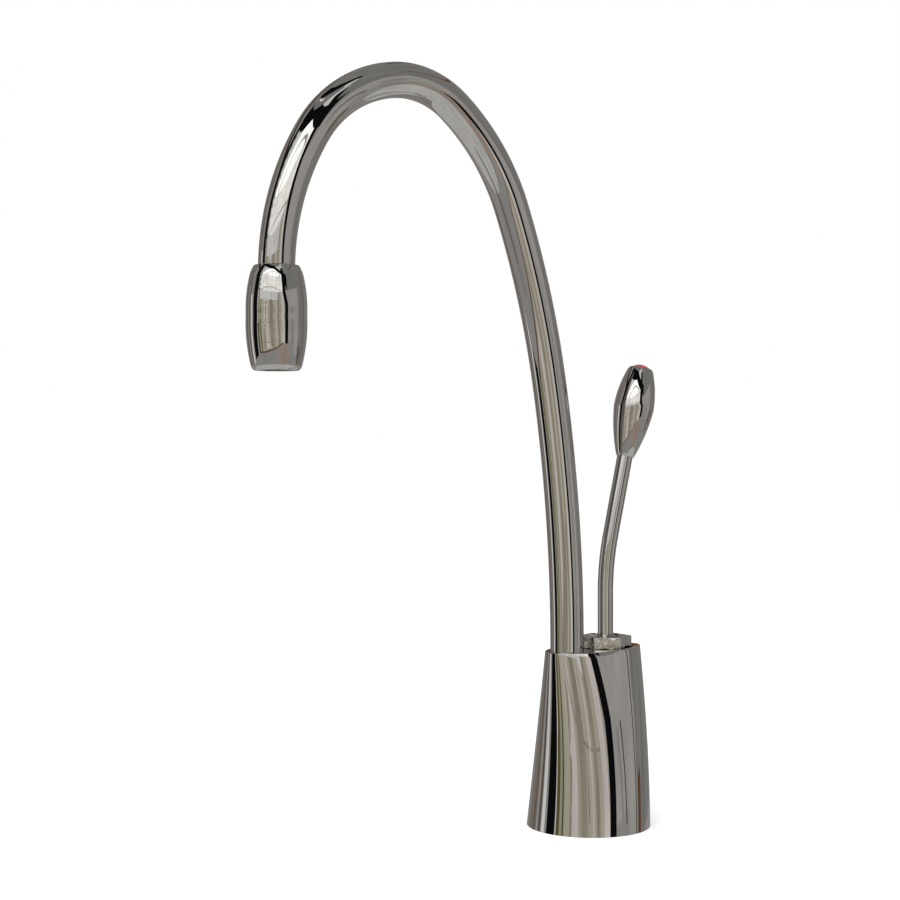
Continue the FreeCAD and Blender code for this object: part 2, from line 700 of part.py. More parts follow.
def outlet_nozzle():
    """Barrel-shaped nozzle, bored from below for the straightener and the adaptor's thread."""
    inside = nozzle_thread_radius + fixed_gap
    inside_top = straightener_bottom + nozzle_inside_length
    face = (tube_radius + nozzle_face_step, nozzle_bottom)
    foot = (tube_radius + nozzle_foot_step, nozzle_bottom + nozzle_foot_rise)
    widest = (tube_radius + nozzle_widest_step, nozzle_bottom + nozzle_widest_rise)
    shoulder = (tube_radius + nozzle_shoulder_step, nozzle_top - nozzle_shoulder_drop)
    top = (tube_radius + nozzle_top_step, nozzle_top)
    nozzle = turned(
        (nozzle_mouth_radius, nozzle_bottom),
        face,
        bowed(face, foot, nozzle_foot_bow),
        bowed(foot, widest, nozzle_lower_bow),
        bowed(widest, shoulder, nozzle_upper_bow),
        bowed(shoulder, top, nozzle_shoulder_bow),
        (tube_radius + free_gap, nozzle_top),
        (tube_radius + free_gap, inside_top),
        (inside, inside_top),
        (inside, straightener_bottom),
        (nozzle_mouth_radius, straightener_bottom),
    )
    nozzle.translate(vec(0, outlet_y, 0))
    return nozzle


def nozzle_adaptor():
    adaptor_bore = tube_bore - adaptor_wall
    adaptor = turned(
        (adaptor_bore, adaptor_bottom),
        (nozzle_thread_radius, adaptor_bottom),
        (nozzle_thread_radius, adaptor_thread_top),
        (tube_radius, adaptor_thread_top),
        (tube_radius, tube_end_z),
        (tube_bore - fixed_gap, tube_end_z),
        (tube_bore - fixed_gap, bends_end_z),
        (adaptor_bore, bends_end_z),
    )
    adaptor.translate(vec(0, outlet_y, 0))
    return adaptor


def nozzle_seal():
    return ring(nozzle_thread_radius - fixed_gap, nozzle_seal_bore,
                nozzle_seal_bottom, adaptor_bottom, outlet_y)


def flow_straightener():
    """Disc with one hole in the middle and rings of six and twelve round it."""
    y = outlet_y
    disc = rod(nozzle_thread_radius - fixed_gap, straightener_bottom, nozzle_seal_bottom, y)
    hole_ring = nozzle_seal_bore / 2.6
    holes = [rod(straightener_hole, straightener_bottom, nozzle_seal_bottom, y)]
    for circle in (1, 2):
        for k in range(6 * circle):
            angle = math.radians(60.0 * k / circle)
            x = circle * hole_ring * math.cos(angle)
            holes.append(rod(straightener_hole, straightener_bottom, nozzle_seal_bottom,
                             y + circle * hole_ring * math.sin(angle), x))
    return disc.cut(holes)


# ---- the lever ----
def stem_bend_end():
    lean = math.radians(stem_lean)
    y = valve_axis_y + stem_bend_radius * (1 - math.cos(lean))
    return y, stem_bend_start + stem_bend_radius * math.sin(lean)


def stem_way():
    """Direction of the upper stem and of the knob's axis."""
    lean = math.radians(stem_lean)
    return vec(0, math.sin(lean), math.cos(lean))


def knob_base():
    y, z = stem_bend_end()
    return vec(0, y, z).add(stem_way().multiply(stem_lean_length))


def lever_stem():
    stem = rod(stem_radius, stem_bottom, stem_bend_start, valve_axis_y)
    disc = Part.Face(Part.Wire(Part.makeCircle(stem_radius, vec(0, valve_axis_y, stem_bend_start), UP)))
    bend = disc.revolve(vec(0, valve_axis_y + stem_bend_radius, stem_bend_start), ACROSS, -stem_lean)
    y, z = stem_bend_end()
    base = knob_base()
    upper = drilling(stem_radius, vec(0, y, z), base)
    spigot = drilling(stem_spigot_radius, base, base.add(stem_way().multiply(stem_spigot_length)))
    stem = stem.fuse([bend, upper, spigot])
    stem = stem.cut(drilling(pin_radius + running_gap, vec(-base_radius, valve_axis_y, lever_pivot_z),
                             vec(base_radius, valve_axis_y, lever_pivot_z)))
    stud_hole = rod(rocker_stud_radius + fixed_gap, stem_bottom, stem_bottom + rocker_stud_length,
                    valve_axis_y)
    return stem.cut(stud_hole)


def rocker_pad():
    """Pad under the lever's lower end: its back edge presses the plunger down."""
    pad = milled_slot(stem_radius - fixed_gap, rocker_reach, rocker_bottom, stem_bottom, valve_axis_y)
    return pad.fuse(rod(rocker_stud_radius, stem_bottom, stem_bottom + rocker_stud_length, valve_axis_y))


def on_knob(shape):
    """Move a shape made about the Z axis to the knob's place and lean."""
    shape.rotate(vec(0, 0, 0), ACROSS, -stem_lean)
    shape.translate(knob_base())
    return shape


def lever_knob():
    spigot_hole = stem_spigot_radius + fixed_gap
    neck = (stem_radius + knob_neck_step, 0.0)
    widest = (knob_widest_radius, knob_widest_height)
    shoulder = (knob_shoulder_radius, knob_height - knob_shoulder_drop)
    face = (knob_face_radius, knob_height)
    knob = turned(
        (spigot_hole, 0.0),
        neck,
        bowed(neck, widest, knob_lower_bow),
        bowed(widest, shoulder, knob_upper_bow),
        bowed(shoulder, face, knob_rim_bow),
        (button_radius + fixed_gap, knob_height),
        (button_radius + fixed_gap, knob_height - button_depth),
        (0.0, knob_height - button_depth),
        (0.0, stem_spigot_length + free_gap),
        (spigot_hole, stem_spigot_length + free_gap),
    )
    return on_knob(knob)


def index_button():
    """Coloured button with a spherical crown, pressed into the knob's end."""
    low = knob_height - button_depth
    ball = (button_radius ** 2 + button_dome ** 2) / (2 * button_dome)
    centre = knob_height + button_dome - ball
    half = math.asin(button_radius / ball) / 2
    button = turned(
        (0.0, low),
        (button_radius, low),
        (button_radius, knob_height),
        ((ball * math.sin(half), centre + ball * math.cos(half)), (0.0, knob_height + button_dome)),
    )
    return on_knob(button)


# ---- the plunger ----
def valve_plunger():
    y = valve_axis_y
    head = milled_slot(stem_radius - fixed_gap, plunger_head_reach, plunger_head_bottom, rocker_bottom, y)
    plunger = head.fuse(rod(plunger_rod_radius, outlet_chamber_top, plunger_head_bottom, y))
    plunger = plunger.fuse(rod(plunger_neck_radius, cartridge_bottom - plunger_tail, outlet_chamber_top, y))
    collar_top = cartridge_bottom + plunger_collar_height
    plunger = plunger.fuse(rod(plunger_collar_radius, cartridge_bottom, collar_top, y))
    groove_floor = plunger_rod_radius - 2 * plunger_seal_section
    groove_half = 1.5 * plunger_seal_section
    groove = ring(base_radius, groove_floor, plunger_seal_z - groove_half, plunger_seal_z + groove_half, y)
    return plunger.cut(groove)


def plunger_seal():
    middle = plunger_rod_radius - plunger_seal_section + fixed_gap
    return seal_ring(middle, plunger_seal_section, plunger_seal_z, valve_axis_y)


def valve_washer():
    low = cartridge_bottom - valve_washer_height
    return ring(valve_washer_radius, plunger_neck_radius + fixed_gap, low, cartridge_bottom, valve_axis_y)


def washer_nut():
    high = cartridge_bottom - valve_washer_height
    low = high - washer_nut_height
    nut = hexagon(washer_nut_flats, low, high, valve_axis_y)
    return nut.cut(rod(plunger_neck_radius + fixed_gap, low, high, valve_axis_y))


def main():
    nodes = {
        "base_shell": base_shell(),
        "valve_body": valve_body(),
        "spout_bush": spout_bush(),
        "spout_stop_screw": spout_stop_screw(),
        "bonnet_nut": bonnet_nut(),
        "valve_cartridge": valve_cartridge(),
        "cartridge_seal": cartridge_seal(),
        "cartridge_gasket": cartridge_gasket(),
        "pivot_pin": pivot_pin(),
        "return_spring": return_spring(),
        "casing_screws": casing_screws(),
        "threaded_shank": threaded_shank(),
        "base_gasket": base_gasket(),
        "fixing_rubber_washer": fixing_rubber_washer(),
        "fixing_steel_washer": fixing_steel_washer(),
        "fixing_nut": fixing_nut(),
        "spout_tube": spout_tube(),
        "spout_foot": spout_foot(),
        "upper_spout_seal": spout_seal(spout_seal_drops[0]),
        "lower_spout_seal": spout_seal(spout_seal_drops[1]),
        "outlet_nozzle": outlet_nozzle(),
        "nozzle_adaptor": nozzle_adaptor(),
        "nozzle_seal": nozzle_seal(),
        "flow_straightener": flow_straightener(),
        "lever_stem": lever_stem(),
        "rocker_pad": rocker_pad(),
        "lever_knob": lever_knob(),
        "index_button": index_button(),
        "valve_plunger": valve_plunger(),
        "plunger_seal": plunger_seal(),
        "valve_washer": valve_washer(),
        "washer_nut": washer_nut(),
    }
    for name in tail_angles:
        nodes[name] = hose_tail(name)
    os.makedirs("parts", exist_ok=True)
    for name, shape in nodes.items():
        solids = len(shape.Solids)
        print(name, "solids", solids, "valid", shape.isValid(), "volume", round(shape.Volume, 1))
        shape.exportStep("parts/" + name + ".step")


main()
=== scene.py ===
import json
import math

import bmesh
import bpy
from mathutils import Matrix, Vector


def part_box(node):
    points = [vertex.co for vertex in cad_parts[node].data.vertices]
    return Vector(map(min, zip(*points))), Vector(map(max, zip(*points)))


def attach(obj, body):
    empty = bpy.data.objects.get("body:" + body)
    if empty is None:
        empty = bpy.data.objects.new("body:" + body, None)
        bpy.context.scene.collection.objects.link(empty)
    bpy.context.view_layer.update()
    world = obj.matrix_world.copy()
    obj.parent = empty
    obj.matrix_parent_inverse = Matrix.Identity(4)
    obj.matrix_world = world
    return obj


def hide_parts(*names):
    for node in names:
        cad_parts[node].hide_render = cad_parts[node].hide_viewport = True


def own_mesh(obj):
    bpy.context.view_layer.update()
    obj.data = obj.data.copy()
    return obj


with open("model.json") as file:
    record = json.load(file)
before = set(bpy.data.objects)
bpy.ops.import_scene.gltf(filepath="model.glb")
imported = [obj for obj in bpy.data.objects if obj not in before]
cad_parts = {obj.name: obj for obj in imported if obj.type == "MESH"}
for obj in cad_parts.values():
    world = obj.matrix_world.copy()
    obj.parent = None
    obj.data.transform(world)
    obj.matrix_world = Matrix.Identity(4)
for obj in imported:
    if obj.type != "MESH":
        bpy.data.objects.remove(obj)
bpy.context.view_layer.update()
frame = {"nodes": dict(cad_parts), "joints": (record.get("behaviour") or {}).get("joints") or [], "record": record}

# Boiling water tap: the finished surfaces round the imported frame. Lengths are in metres.
MM = 0.001

# ---- sizes of the shown pieces ----
# casing: round at the worktop and drawn in to an oval at its sloping top
BASE_RADIUS = 24.98 * MM
TOP_HEIGHT = 71.4 * MM
TOP_FRONT_REACH = 19.2 * MM
TOP_BACK_REACH = 23.9 * MM
TOP_HALF_WIDTH = 13.41 * MM
SIDE_BOW = 1.63 * MM
BACK_BOW = 0.53 * MM
TOP_TILT = math.radians(1.9)
CASING_WALL = 1.5 * MM
CASING_TOP_WALL = 3.0 * MM
RIM_ROUNDING = 0.28 * MM
TUBE_HOLE_ROOM = 0.08 * MM
NUT_POCKET_ROOM = 0.3 * MM
NUT_THREAD_HOLE_RADIUS = 8.3 * MM

# gooseneck: radius and turn in degrees of each tangent arc
TUBE_RADIUS = 6.78 * MM
TUBE_WALL = 1.2 * MM
TUBE_STRAIGHT_RISE = 1.1 * MM
GOOSENECK_ARCS = ((663.0, 9.5), (369.0, 10.6), (87.5, 30.2), (34.0, 48.5), (47.4, 50.1), (102.2, 31.1))
ARC_STEP = 1.6 * MM
TUBE_END_LENGTH = 5.3 * MM

# lever
STEM_RADIUS = 3.2 * MM
STEM_ABOVE_PIVOT = 23.5 * MM
STEM_BEND_RADIUS = 105.0 * MM
STEM_LEAN = math.radians(12.6)
STEM_LEAN_LENGTH = 33.2 * MM

# knob and its button, in millimetres along the knob's own axis
KNOB_HEIGHT_MM = 37.3
KNOB_SOCKET_MM = 35.7
BUTTON_RADIUS_MM = 4.0

# nut, with a dished top round the lever, and a skirt that screws into the base
NUT_HEIGHT = 5.8 * MM
NUT_EDGE_ROUNDING = 0.22 * MM
NUT_CORNER_ROUNDING = 0.35 * MM
NUT_DISH_RIM = 0.875 * MM
NUT_DISH_DEPTH = 0.9 * MM
NUT_MOUTH_RADIUS = 4.83 * MM
NUT_WEB = 2.0 * MM
NUT_SKIRT_RADIUS = 8.0 * MM
NUT_SKIRT_BORE = 6.45 * MM

# return spring
SPRING_WIRE_RADIUS = 0.4 * MM
SPRING_TURNS = 5.5

# screw threads
THREAD_PITCH = 1.5 * MM
THREAD_DEPTH = 0.75 * MM
THREAD_ROWS_PER_TURN = 8
THREAD_SKIN = 0.02 * MM

# shank and fixing nut
SHANK_WALL = 2.3 * MM
BACK_NUT_GAP = 0.05 * MM
BACK_NUT_BEVEL = 0.6 * MM
BACK_NUT_CORNER_ROUNDING = 0.3 * MM
BACK_NUT_FACE_SHARE = 0.97
BACK_NUT_CHAMFER = math.radians(30)

# washers and hose tails, in millimetres
WASHER_BORE_RADIUS_MM = 12.8
TAIL_RADIUS_MM = 3.175
TAIL_BORE_RADIUS_MM = 2.0
TAIL_BEAD_HEIGHT_MM = -50.8

# places taken from the frame
joints = {joint["name"]: joint for joint in frame["joints"]}
SPOUT_AXIS_Y = joints["spout_swivel"]["pos_m"][1]
VALVE_AXIS_Y = joints["lever_tilt"]["pos_m"][1]
PIVOT_Z = joints["lever_tilt"]["pos_m"][2]


# ---- mesh helpers ----
WELD_DISTANCE = 0.001 * MM
ON_AXIS = 1e-7


def mesh_object(name, mesh):
    piece = bpy.data.objects.new(name, mesh)
    bpy.context.scene.collection.objects.link(piece)
    return piece


def finished(name, bm, sharp_degrees=35.0):
    """Turn a bmesh into a piece with smooth faces and sharp edges where it turns a corner."""
    bmesh.ops.remove_doubles(bm, verts=bm.verts, dist=WELD_DISTANCE)
    bmesh.ops.recalc_face_normals(bm, faces=bm.faces)
    for face in bm.faces:
        face.smooth = True
    limit = math.radians(sharp_degrees)
    for edge in bm.edges:
        if len(edge.link_faces) == 2 and edge.calc_face_angle() > limit:
            edge.smooth = False
    mesh = bpy.data.meshes.new(name)
    bm.to_mesh(mesh)
    bm.free()
    return mesh_object(name, mesh)


def add_loop(bm, points):
    return [bm.verts.new(point) for point in points]


def bridge(bm, low, high):
    """Quads between two closed loops of as many points."""
    count = len(low)
    for k in range(count):
        after = (k + 1) % count
        bm.faces.new((low[k], low[after], high[after], high[k]))


def bridge_all(bm, loops):
    for low, high in zip(loops, loops[1:]):
        bridge(bm, low, high)


def arc_points(start, middle, end, count):
    """Points along the circular arc through three points of a (radius, height) profile, after the first."""
    ax, ay = start
    bx, by = middle
    cx, cy = end
    d = 2 * (ax * (by - cy) + bx * (cy - ay) + cx * (ay - by))
    a2, b2, c2 = ax * ax + ay * ay, bx * bx + by * by, cx * cx + cy * cy
    ux = (a2 * (by - cy) + b2 * (cy - ay) + c2 * (ay - by)) / d
    uy = (a2 * (cx - bx) + b2 * (ax - cx) + c2 * (bx - ax)) / d
    radius = math.hypot(ax - ux, ay - uy)
    first = math.atan2(ay - uy, ax - ux)
    turn_middle = math.remainder(math.atan2(by - uy, bx - ux) - first, math.tau)
    turn_end = math.remainder(math.atan2(cy - uy, cx - ux) - first, math.tau)
    if turn_middle * turn_end < 0:
        turn_end -= math.copysign(math.tau, turn_end)
    angles = [first + turn_end * (k + 1) / count for k in range(count)]
    return [(ux + radius * math.cos(a), uy + radius * math.sin(a)) for a in angles]


def profile(start, *moves, steps=16):
    """Outline of (radius, height) points in millimetres: a move is a point, or an arc's middle and end."""
    points = [start]
    for move in moves:
        if isinstance(move[0], tuple):
            points += arc_points(points[-1], move[0], move[1], steps)
        else:
            points.append(move)
    return [(radius * MM, height * MM) for radius, height in points]


def bowed(start, end, bow):
    """Middle and end of an arc of an outline that bulges outwards by bow on its way up."""
    outwards = end[0] - start[0]
    upwards = end[1] - start[1]
    length = math.hypot(outwards, upwards)
    middle_radius = (start[0] + end[0]) / 2 + bow * upwards / length
    middle_height = (start[1] + end[1]) / 2 - bow * outwards / length
    return (middle_radius, middle_height), end


def turned(name, outline, sides=128, place=None, closed=True):
    """Solid turned about its own axis from a closed outline, then moved to its place."""
    bm = bmesh.new()
    loops = []
    for radius, height in outline:
        if radius < ON_AXIS:
            loops.append([bm.verts.new((0, 0, height))])
            continue
        angles = [math.tau * k / sides for k in range(sides)]
        loops.append(add_loop(bm, [(radius * math.cos(a), radius * math.sin(a), height) for a in angles]))
    pairs = list(zip(loops, loops[1:]))
    if closed:
        pairs.append((loops[-1], loops[0]))
    for low, high in pairs:
        if len(low) == 1 and len(high) == 1:
            continue
        if len(low) == 1 or len(high) == 1:
            ring, tip = (high, low[0]) if len(low) == 1 else (low, high[0])
            for k in range(sides):
                bm.faces.new((ring[k], ring[(k + 1) % sides], tip))
        else:
            bridge(bm, low, high)
    if place is not None:
        bm.transform(place)
    return finished(name, bm)


def at_height(y, z=0.0, x=0.0):
    return Matrix.Translation((x, y, z))


# ---- geometry node helpers ----
def new_tree(name, inputs):
    """Geometry tree with named inputs; returns the tree, its input node and its output node."""
    tree = bpy.data.node_groups.new(name, "GeometryNodeTree")
    tree.interface.new_socket("Geometry", in_out="INPUT", socket_type="NodeSocketGeometry")
    for label, kind, value in inputs:
        socket = tree.interface.new_socket(label, in_out="INPUT", socket_type="NodeSocket" + kind)
        if value is not None:
            socket.default_value = value
    tree.interface.new_socket("Geometry", in_out="OUTPUT", socket_type="NodeSocketGeometry")
    return tree, tree.nodes.new("NodeGroupInput"), tree.nodes.new("NodeGroupOutput")


def math_node(tree, operation, *values):
    node = tree.nodes.new("ShaderNodeMath")
    node.operation = operation
    for socket, value in zip(node.inputs, values):
        if isinstance(value, bpy.types.NodeSocket):
            tree.links.new(value, socket)
        else:
            socket.default_value = value
    return node.outputs[0]


def finish_tree(tree, given, geometry, output):
    """Realize Instances and Set Material, then out."""
    realize = tree.nodes.new("GeometryNodeRealizeInstances")
    paint = tree.nodes.new("GeometryNodeSetMaterial")
    tree.links.new(geometry, realize.inputs[0])
    tree.links.new(realize.outputs[0], paint.inputs["Geometry"])
    tree.links.new(given.outputs["Material"], paint.inputs["Material"])
    tree.links.new(paint.outputs[0], output.inputs[0])


def use_tree(piece, tree, **values):
    """Run a tree on a piece; input names have spaces where the keywords have underscores."""
    modifier = piece.modifiers.new(tree.name, "NODES")
    modifier.node_group = tree
    for item in tree.interface.items_tree:
        keyword = item.name.replace(" ", "_").lower()
        if item.in_out == "INPUT" and keyword in values:
            modifier[item.identifier] = values[keyword]


def settled(piece, name):
    """The piece with its modifiers worked in, as a plain mesh object."""
    depsgraph = bpy.context.evaluated_depsgraph_get()
    mesh = bpy.data.meshes.new_from_object(piece.evaluated_get(depsgraph), depsgraph=depsgraph)
    mesh.name = name
    bpy.data.objects.remove(piece)
    return mesh_object(name, mesh)


def bent_pipe_tree():
    """Sweeps a round section along the incoming curve."""
    tree, given, output = new_tree("bent_pipe", [
        ("Radius", "Float", 1.0 * MM), ("Sides", "Int", 96), ("Material", "Material", None)])
    circle = tree.nodes.new("GeometryNodeCurvePrimitiveCircle")
    sweep = tree.nodes.new("GeometryNodeCurveToMesh")
    smooth = tree.nodes.new("GeometryNodeSetShadeSmooth")
    tree.links.new(given.outputs["Radius"], circle.inputs["Radius"])
    tree.links.new(given.outputs["Sides"], circle.inputs["Resolution"])
    tree.links.new(given.outputs["Geometry"], sweep.inputs["Curve"])
    tree.links.new(circle.outputs[0], sweep.inputs["Profile Curve"])
    tree.links.new(sweep.outputs[0], smooth.inputs[0])
    finish_tree(tree, given, smooth.outputs[0], output)
    return tree


def cut_thread_tree():
    """Cuts a right-hand V thread into the outermost wall of an upright turned piece."""
    tree, given, output = new_tree("cut_thread", [
        ("Radius", "Float", 1.0 * MM), ("Depth", "Float", THREAD_DEPTH), ("Pitch", "Float", THREAD_PITCH),
        ("Low", "Float", 0.0), ("High", "Float", 0.0), ("Material", "Material", None)])
    position = tree.nodes.new("GeometryNodeInputPosition")
    split = tree.nodes.new("ShaderNodeSeparateXYZ")
    tree.links.new(position.outputs[0], split.inputs[0])
    x, y, z = split.outputs
    radius = math_node(tree, "SQRT", math_node(tree, "ADD", math_node(tree, "MULTIPLY", x, x),
                                               math_node(tree, "MULTIPLY", y, y)))
    turn = math_node(tree, "DIVIDE", math_node(tree, "ARCTAN2", y, x), math.tau)
    phase = math_node(tree, "SUBTRACT", math_node(tree, "DIVIDE", z, given.outputs["Pitch"]), turn)
    wave = math_node(tree, "PINGPONG", phase, 0.5)
    groove = math_node(tree, "MULTIPLY", math_node(tree, "MULTIPLY", wave, 2.0), given.outputs["Depth"])
    run_in = math_node(tree, "DIVIDE", math_node(tree, "SUBTRACT", z, given.outputs["Low"]),
                       given.outputs["Pitch"])
    run_out = math_node(tree, "DIVIDE", math_node(tree, "SUBTRACT", given.outputs["High"], z),
                        given.outputs["Pitch"])
    fade = math_node(tree, "MINIMUM", math_node(tree, "MINIMUM", run_in, run_out), 1.0)
    fade = math_node(tree, "MAXIMUM", fade, 0.0)
    drop = math_node(tree, "MULTIPLY", groove, fade)
    share = math_node(tree, "DIVIDE", drop, radius)
    outward = tree.nodes.new("ShaderNodeVectorMath")
    outward.operation = "MULTIPLY"
    outward.inputs[1].default_value = (-1.0, -1.0, 0.0)
    tree.links.new(position.outputs[0], outward.inputs[0])
    inward = tree.nodes.new("ShaderNodeVectorMath")
    inward.operation = "SCALE"
    tree.links.new(outward.outputs[0], inward.inputs[0])
    tree.links.new(share, inward.inputs["Scale"])
    outermost = math_node(tree, "GREATER_THAN", radius,
                          math_node(tree, "SUBTRACT", given.outputs["Radius"], THREAD_SKIN))
    move = tree.nodes.new("GeometryNodeSetPosition")
    tree.links.new(given.outputs["Geometry"], move.inputs["Geometry"])
    tree.links.new(outermost, move.inputs["Selection"])
    tree.links.new(inward.outputs[0], move.inputs["Offset"])
    finish_tree(tree, given, move.outputs[0], output)
    return tree


# ---- materials ----
def new_material(name):
    material = bpy.data.materials.new(name)
    material.use_nodes = True
    nodes = material.node_tree.nodes
    return material, nodes, material.node_tree.links, nodes["Principled BSDF"]


def object_noise(nodes, links, scale, detail, stretch=(1.0, 1.0, 1.0)):
    coordinates = nodes.new("ShaderNodeTexCoord")
    mapping = nodes.new("ShaderNodeMapping")
    mapping.inputs["Scale"].default_value = stretch
    noise = nodes.new("ShaderNodeTexNoise")
    noise.inputs["Scale"].default_value = scale
    noise.inputs["Detail"].default_value = detail
    links.new(coordinates.outputs["Object"], mapping.inputs["Vector"])
    links.new(mapping.outputs[0], noise.inputs["Vector"])
    return noise.outputs["Fac"]


def ranged(nodes, links, value, low, high):
    """A 0 to 1 value spread over a range."""
    spread = nodes.new("ShaderNodeMapRange")
    spread.inputs["From Min"].default_value = 0.3
    spread.inputs["From Max"].default_value = 0.7
    spread.inputs["To Min"].default_value = low
    spread.inputs["To Max"].default_value = high
    links.new(value, spread.inputs["Value"])
    return spread.outputs[0]


def add_bump(nodes, links, shader, height, strength, distance):
    bump = nodes.new("ShaderNodeBump")
    bump.inputs["Strength"].default_value = strength
    bump.inputs["Distance"].default_value = distance
    links.new(height, bump.inputs["Height"])
    links.new(bump.outputs[0], shader.inputs["Normal"])


def two_tones(nodes, links, shader, value, low, high):
    """Base colour that goes from one tone to another with a 0 to 1 value."""
    ramp = nodes.new("ShaderNodeValToRGB")
    ramp.color_ramp.elements[0].color = (*low, 1.0)
    ramp.color_ramp.elements[1].color = (*high, 1.0)
    links.new(value, ramp.inputs["Fac"])
    links.new(ramp.outputs["Color"], shader.inputs["Base Color"])


def new_metal(name, colour):
    material, nodes, links, shader = new_material(name)
    shader.inputs["Base Color"].default_value = (*colour, 1.0)
    shader.inputs["Metallic"].default_value = 1.0
    return material, nodes, links, shader


def polished_chrome():
    """Mirror chrome: faint haze in patches and a very slight waviness left by the polishing."""
    material, nodes, links, shader = new_metal("polished_chrome", (0.56, 0.545, 0.525))
    haze = object_noise(nodes, links, 60.0, 4.0)
    links.new(ranged(nodes, links, haze, 0.012, 0.03), shader.inputs["Roughness"])
    wave = object_noise(nodes, links, 45.0, 1.0)
    add_bump(nodes, links, shader, wave, 0.012, 0.1 * MM)
    return material


def plated_nut():
    """Chrome over machined flats that kept the marks of the cutter and of the die."""
    material, nodes, links, shader = new_metal("plated_nut", (0.60, 0.59, 0.565))
    haze = object_noise(nodes, links, 200.0, 3.0)
    links.new(ranged(nodes, links, haze, 0.02, 0.06), shader.inputs["Roughness"])
    marks = object_noise(nodes, links, 330.0, 1.5, (1.0, 1.0, 0.7))
    add_bump(nodes, links, shader, marks, 0.9, 0.9 * MM)
    return material


def machined_brass():
    """Brass with slow changes of tone and the fine turned lines of a lathe."""
    material, nodes, links, shader = new_material("machined_brass")
    tone = object_noise(nodes, links, 40.0, 5.0)
    two_tones(nodes, links, shader, tone, (0.60, 0.42, 0.18), (0.80, 0.62, 0.32))
    shader.inputs["Metallic"].default_value = 1.0
    lines = object_noise(nodes, links, 120.0, 3.0, (0.2, 0.2, 40.0))
    links.new(ranged(nodes, links, lines, 0.22, 0.42), shader.inputs["Roughness"])
    add_bump(nodes, links, shader, lines, 0.08, 0.05 * MM)
    return material


def brushed_steel():
    """Steel with brush lines that all run one way."""
    material, nodes, links, shader = new_metal("brushed_steel", (0.60, 0.60, 0.61))
    lines = object_noise(nodes, links, 200.0, 4.0, (30.0, 0.3, 0.3))
    links.new(ranged(nodes, links, lines, 0.2, 0.4), shader.inputs["Roughness"])
    add_bump(nodes, links, shader, lines, 0.1, 0.03 * MM)
    return material


def black_rubber():
    """Moulded rubber with a greyish bloom and a fine grain."""
    material, nodes, links, shader = new_material("black_rubber")
    bloom = object_noise(nodes, links, 150.0, 6.0)
    two_tones(nodes, links, shader, bloom, (0.018, 0.018, 0.019), (0.045, 0.044, 0.043))
    links.new(ranged(nodes, links, bloom, 0.55, 0.75), shader.inputs["Roughness"])
    grain = object_noise(nodes, links, 1500.0, 3.0)
    add_bump(nodes, links, shader, grain, 0.2, 0.05 * MM)
    return material


def white_plastic():
    """Slightly yellowed moulded plastic."""
    material, nodes, links, shader = new_material("white_plastic")
    tone = object_noise(nodes, links, 80.0, 4.0)
    two_tones(nodes, links, shader, tone, (0.80, 0.79, 0.75), (0.86, 0.86, 0.83))
    shader.inputs["Roughness"].default_value = 0.4
    grain = object_noise(nodes, links, 900.0, 2.0)
    add_bump(nodes, links, shader, grain, 0.1, 0.03 * MM)
    return material


def red_plastic():
    """Clear-coated red of the button, slightly uneven in tone."""
    material, nodes, links, shader = new_material("red_plastic")
    tone = object_noise(nodes, links, 220.0, 3.0)
    two_tones(nodes, links, shader, tone, (0.62, 0.030, 0.045), (0.74, 0.055, 0.075))
    shader.inputs["Roughness"].default_value = 0.22
    shader.inputs["Coat Weight"].default_value = 0.6
    shader.inputs["Coat Roughness"].default_value = 0.05
    dimple = object_noise(nodes, links, 700.0, 2.0)
    add_bump(nodes, links, shader, dimple, 0.05, 0.03 * MM)
    return material


finishes = {
    "polished_chrome": polished_chrome(),
    "brass": machined_brass(),
    "steel": brushed_steel(),
    "black_rubber": black_rubber(),
    "white_plastic": white_plastic(),
    "red_plastic": red_plastic(),
}


def fit_piece(piece, body, slot, *nodes, finish=None):
    """Give a finished piece its finish, its body and the CAD nodes that it stands for."""
    piece.data.materials.clear()
    piece.data.materials.append(finish or finishes[slot])
    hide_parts(*nodes)
    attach(piece, body)
    return piece


# ---- casing ----
def casing_oval(height):
    """Middle, half length and half width of the casing's oval section."""
    share = height / TOP_HEIGHT
    bulge = 4 * share * (1 - share)
    front = -BASE_RADIUS + (BASE_RADIUS - TOP_FRONT_REACH) * share
    back = BASE_RADIUS - (BASE_RADIUS - TOP_BACK_REACH) * share
    half_width = BASE_RADIUS - (BASE_RADIUS - TOP_HALF_WIDTH) * share + SIDE_BOW * bulge
    return (front + back) / 2 + BACK_BOW * bulge, (back - front) / 2, half_width


def casing_point(angle, height, inset=0.0):
    middle, half_length, half_width = casing_oval(height)
    across = (half_width - inset) * math.cos(angle)
    return Vector((across, middle + (half_length - inset) * math.sin(angle), height))


def top_plane(y, drop=0.0):
    return TOP_HEIGHT - drop + y * math.tan(TOP_TILT)


def rim_point(angle, inset=0.0, drop=0.0):
    """Where the wall at this angle meets the sloping top."""
    height = TOP_HEIGHT
    for _ in range(6):
        height = top_plane(casing_point(angle, height, inset).y, drop)
    return casing_point(angle, height, inset)


def wall_loops(bm, inset, drop, rows, sides):
    """Loops of the wall from the worktop up, without the last, and the points of the rim that ends it."""
    loops = []
    rims = [rim_point(math.tau * k / sides, inset, drop) for k in range(sides)]
    for row in range(rows):
        share = row / rows
        points = [casing_point(math.tau * k / sides, rims[k].z * share, inset) for k in range(sides)]
        loops.append(add_loop(bm, points))
    return loops, rims


def hole_loop(bm, y, radius, sides, height=None, drop=0.0):
    """Circle of an upright hole, level at a height or else in the sloping top or below it."""
    points = []
    for k in range(sides):
        angle = math.tau * k / sides
        across, along = radius * math.cos(angle), y + radius * math.sin(angle)
        points.append((across, along, top_plane(along, drop) if height is None else height))
    return add_loop(bm, points)


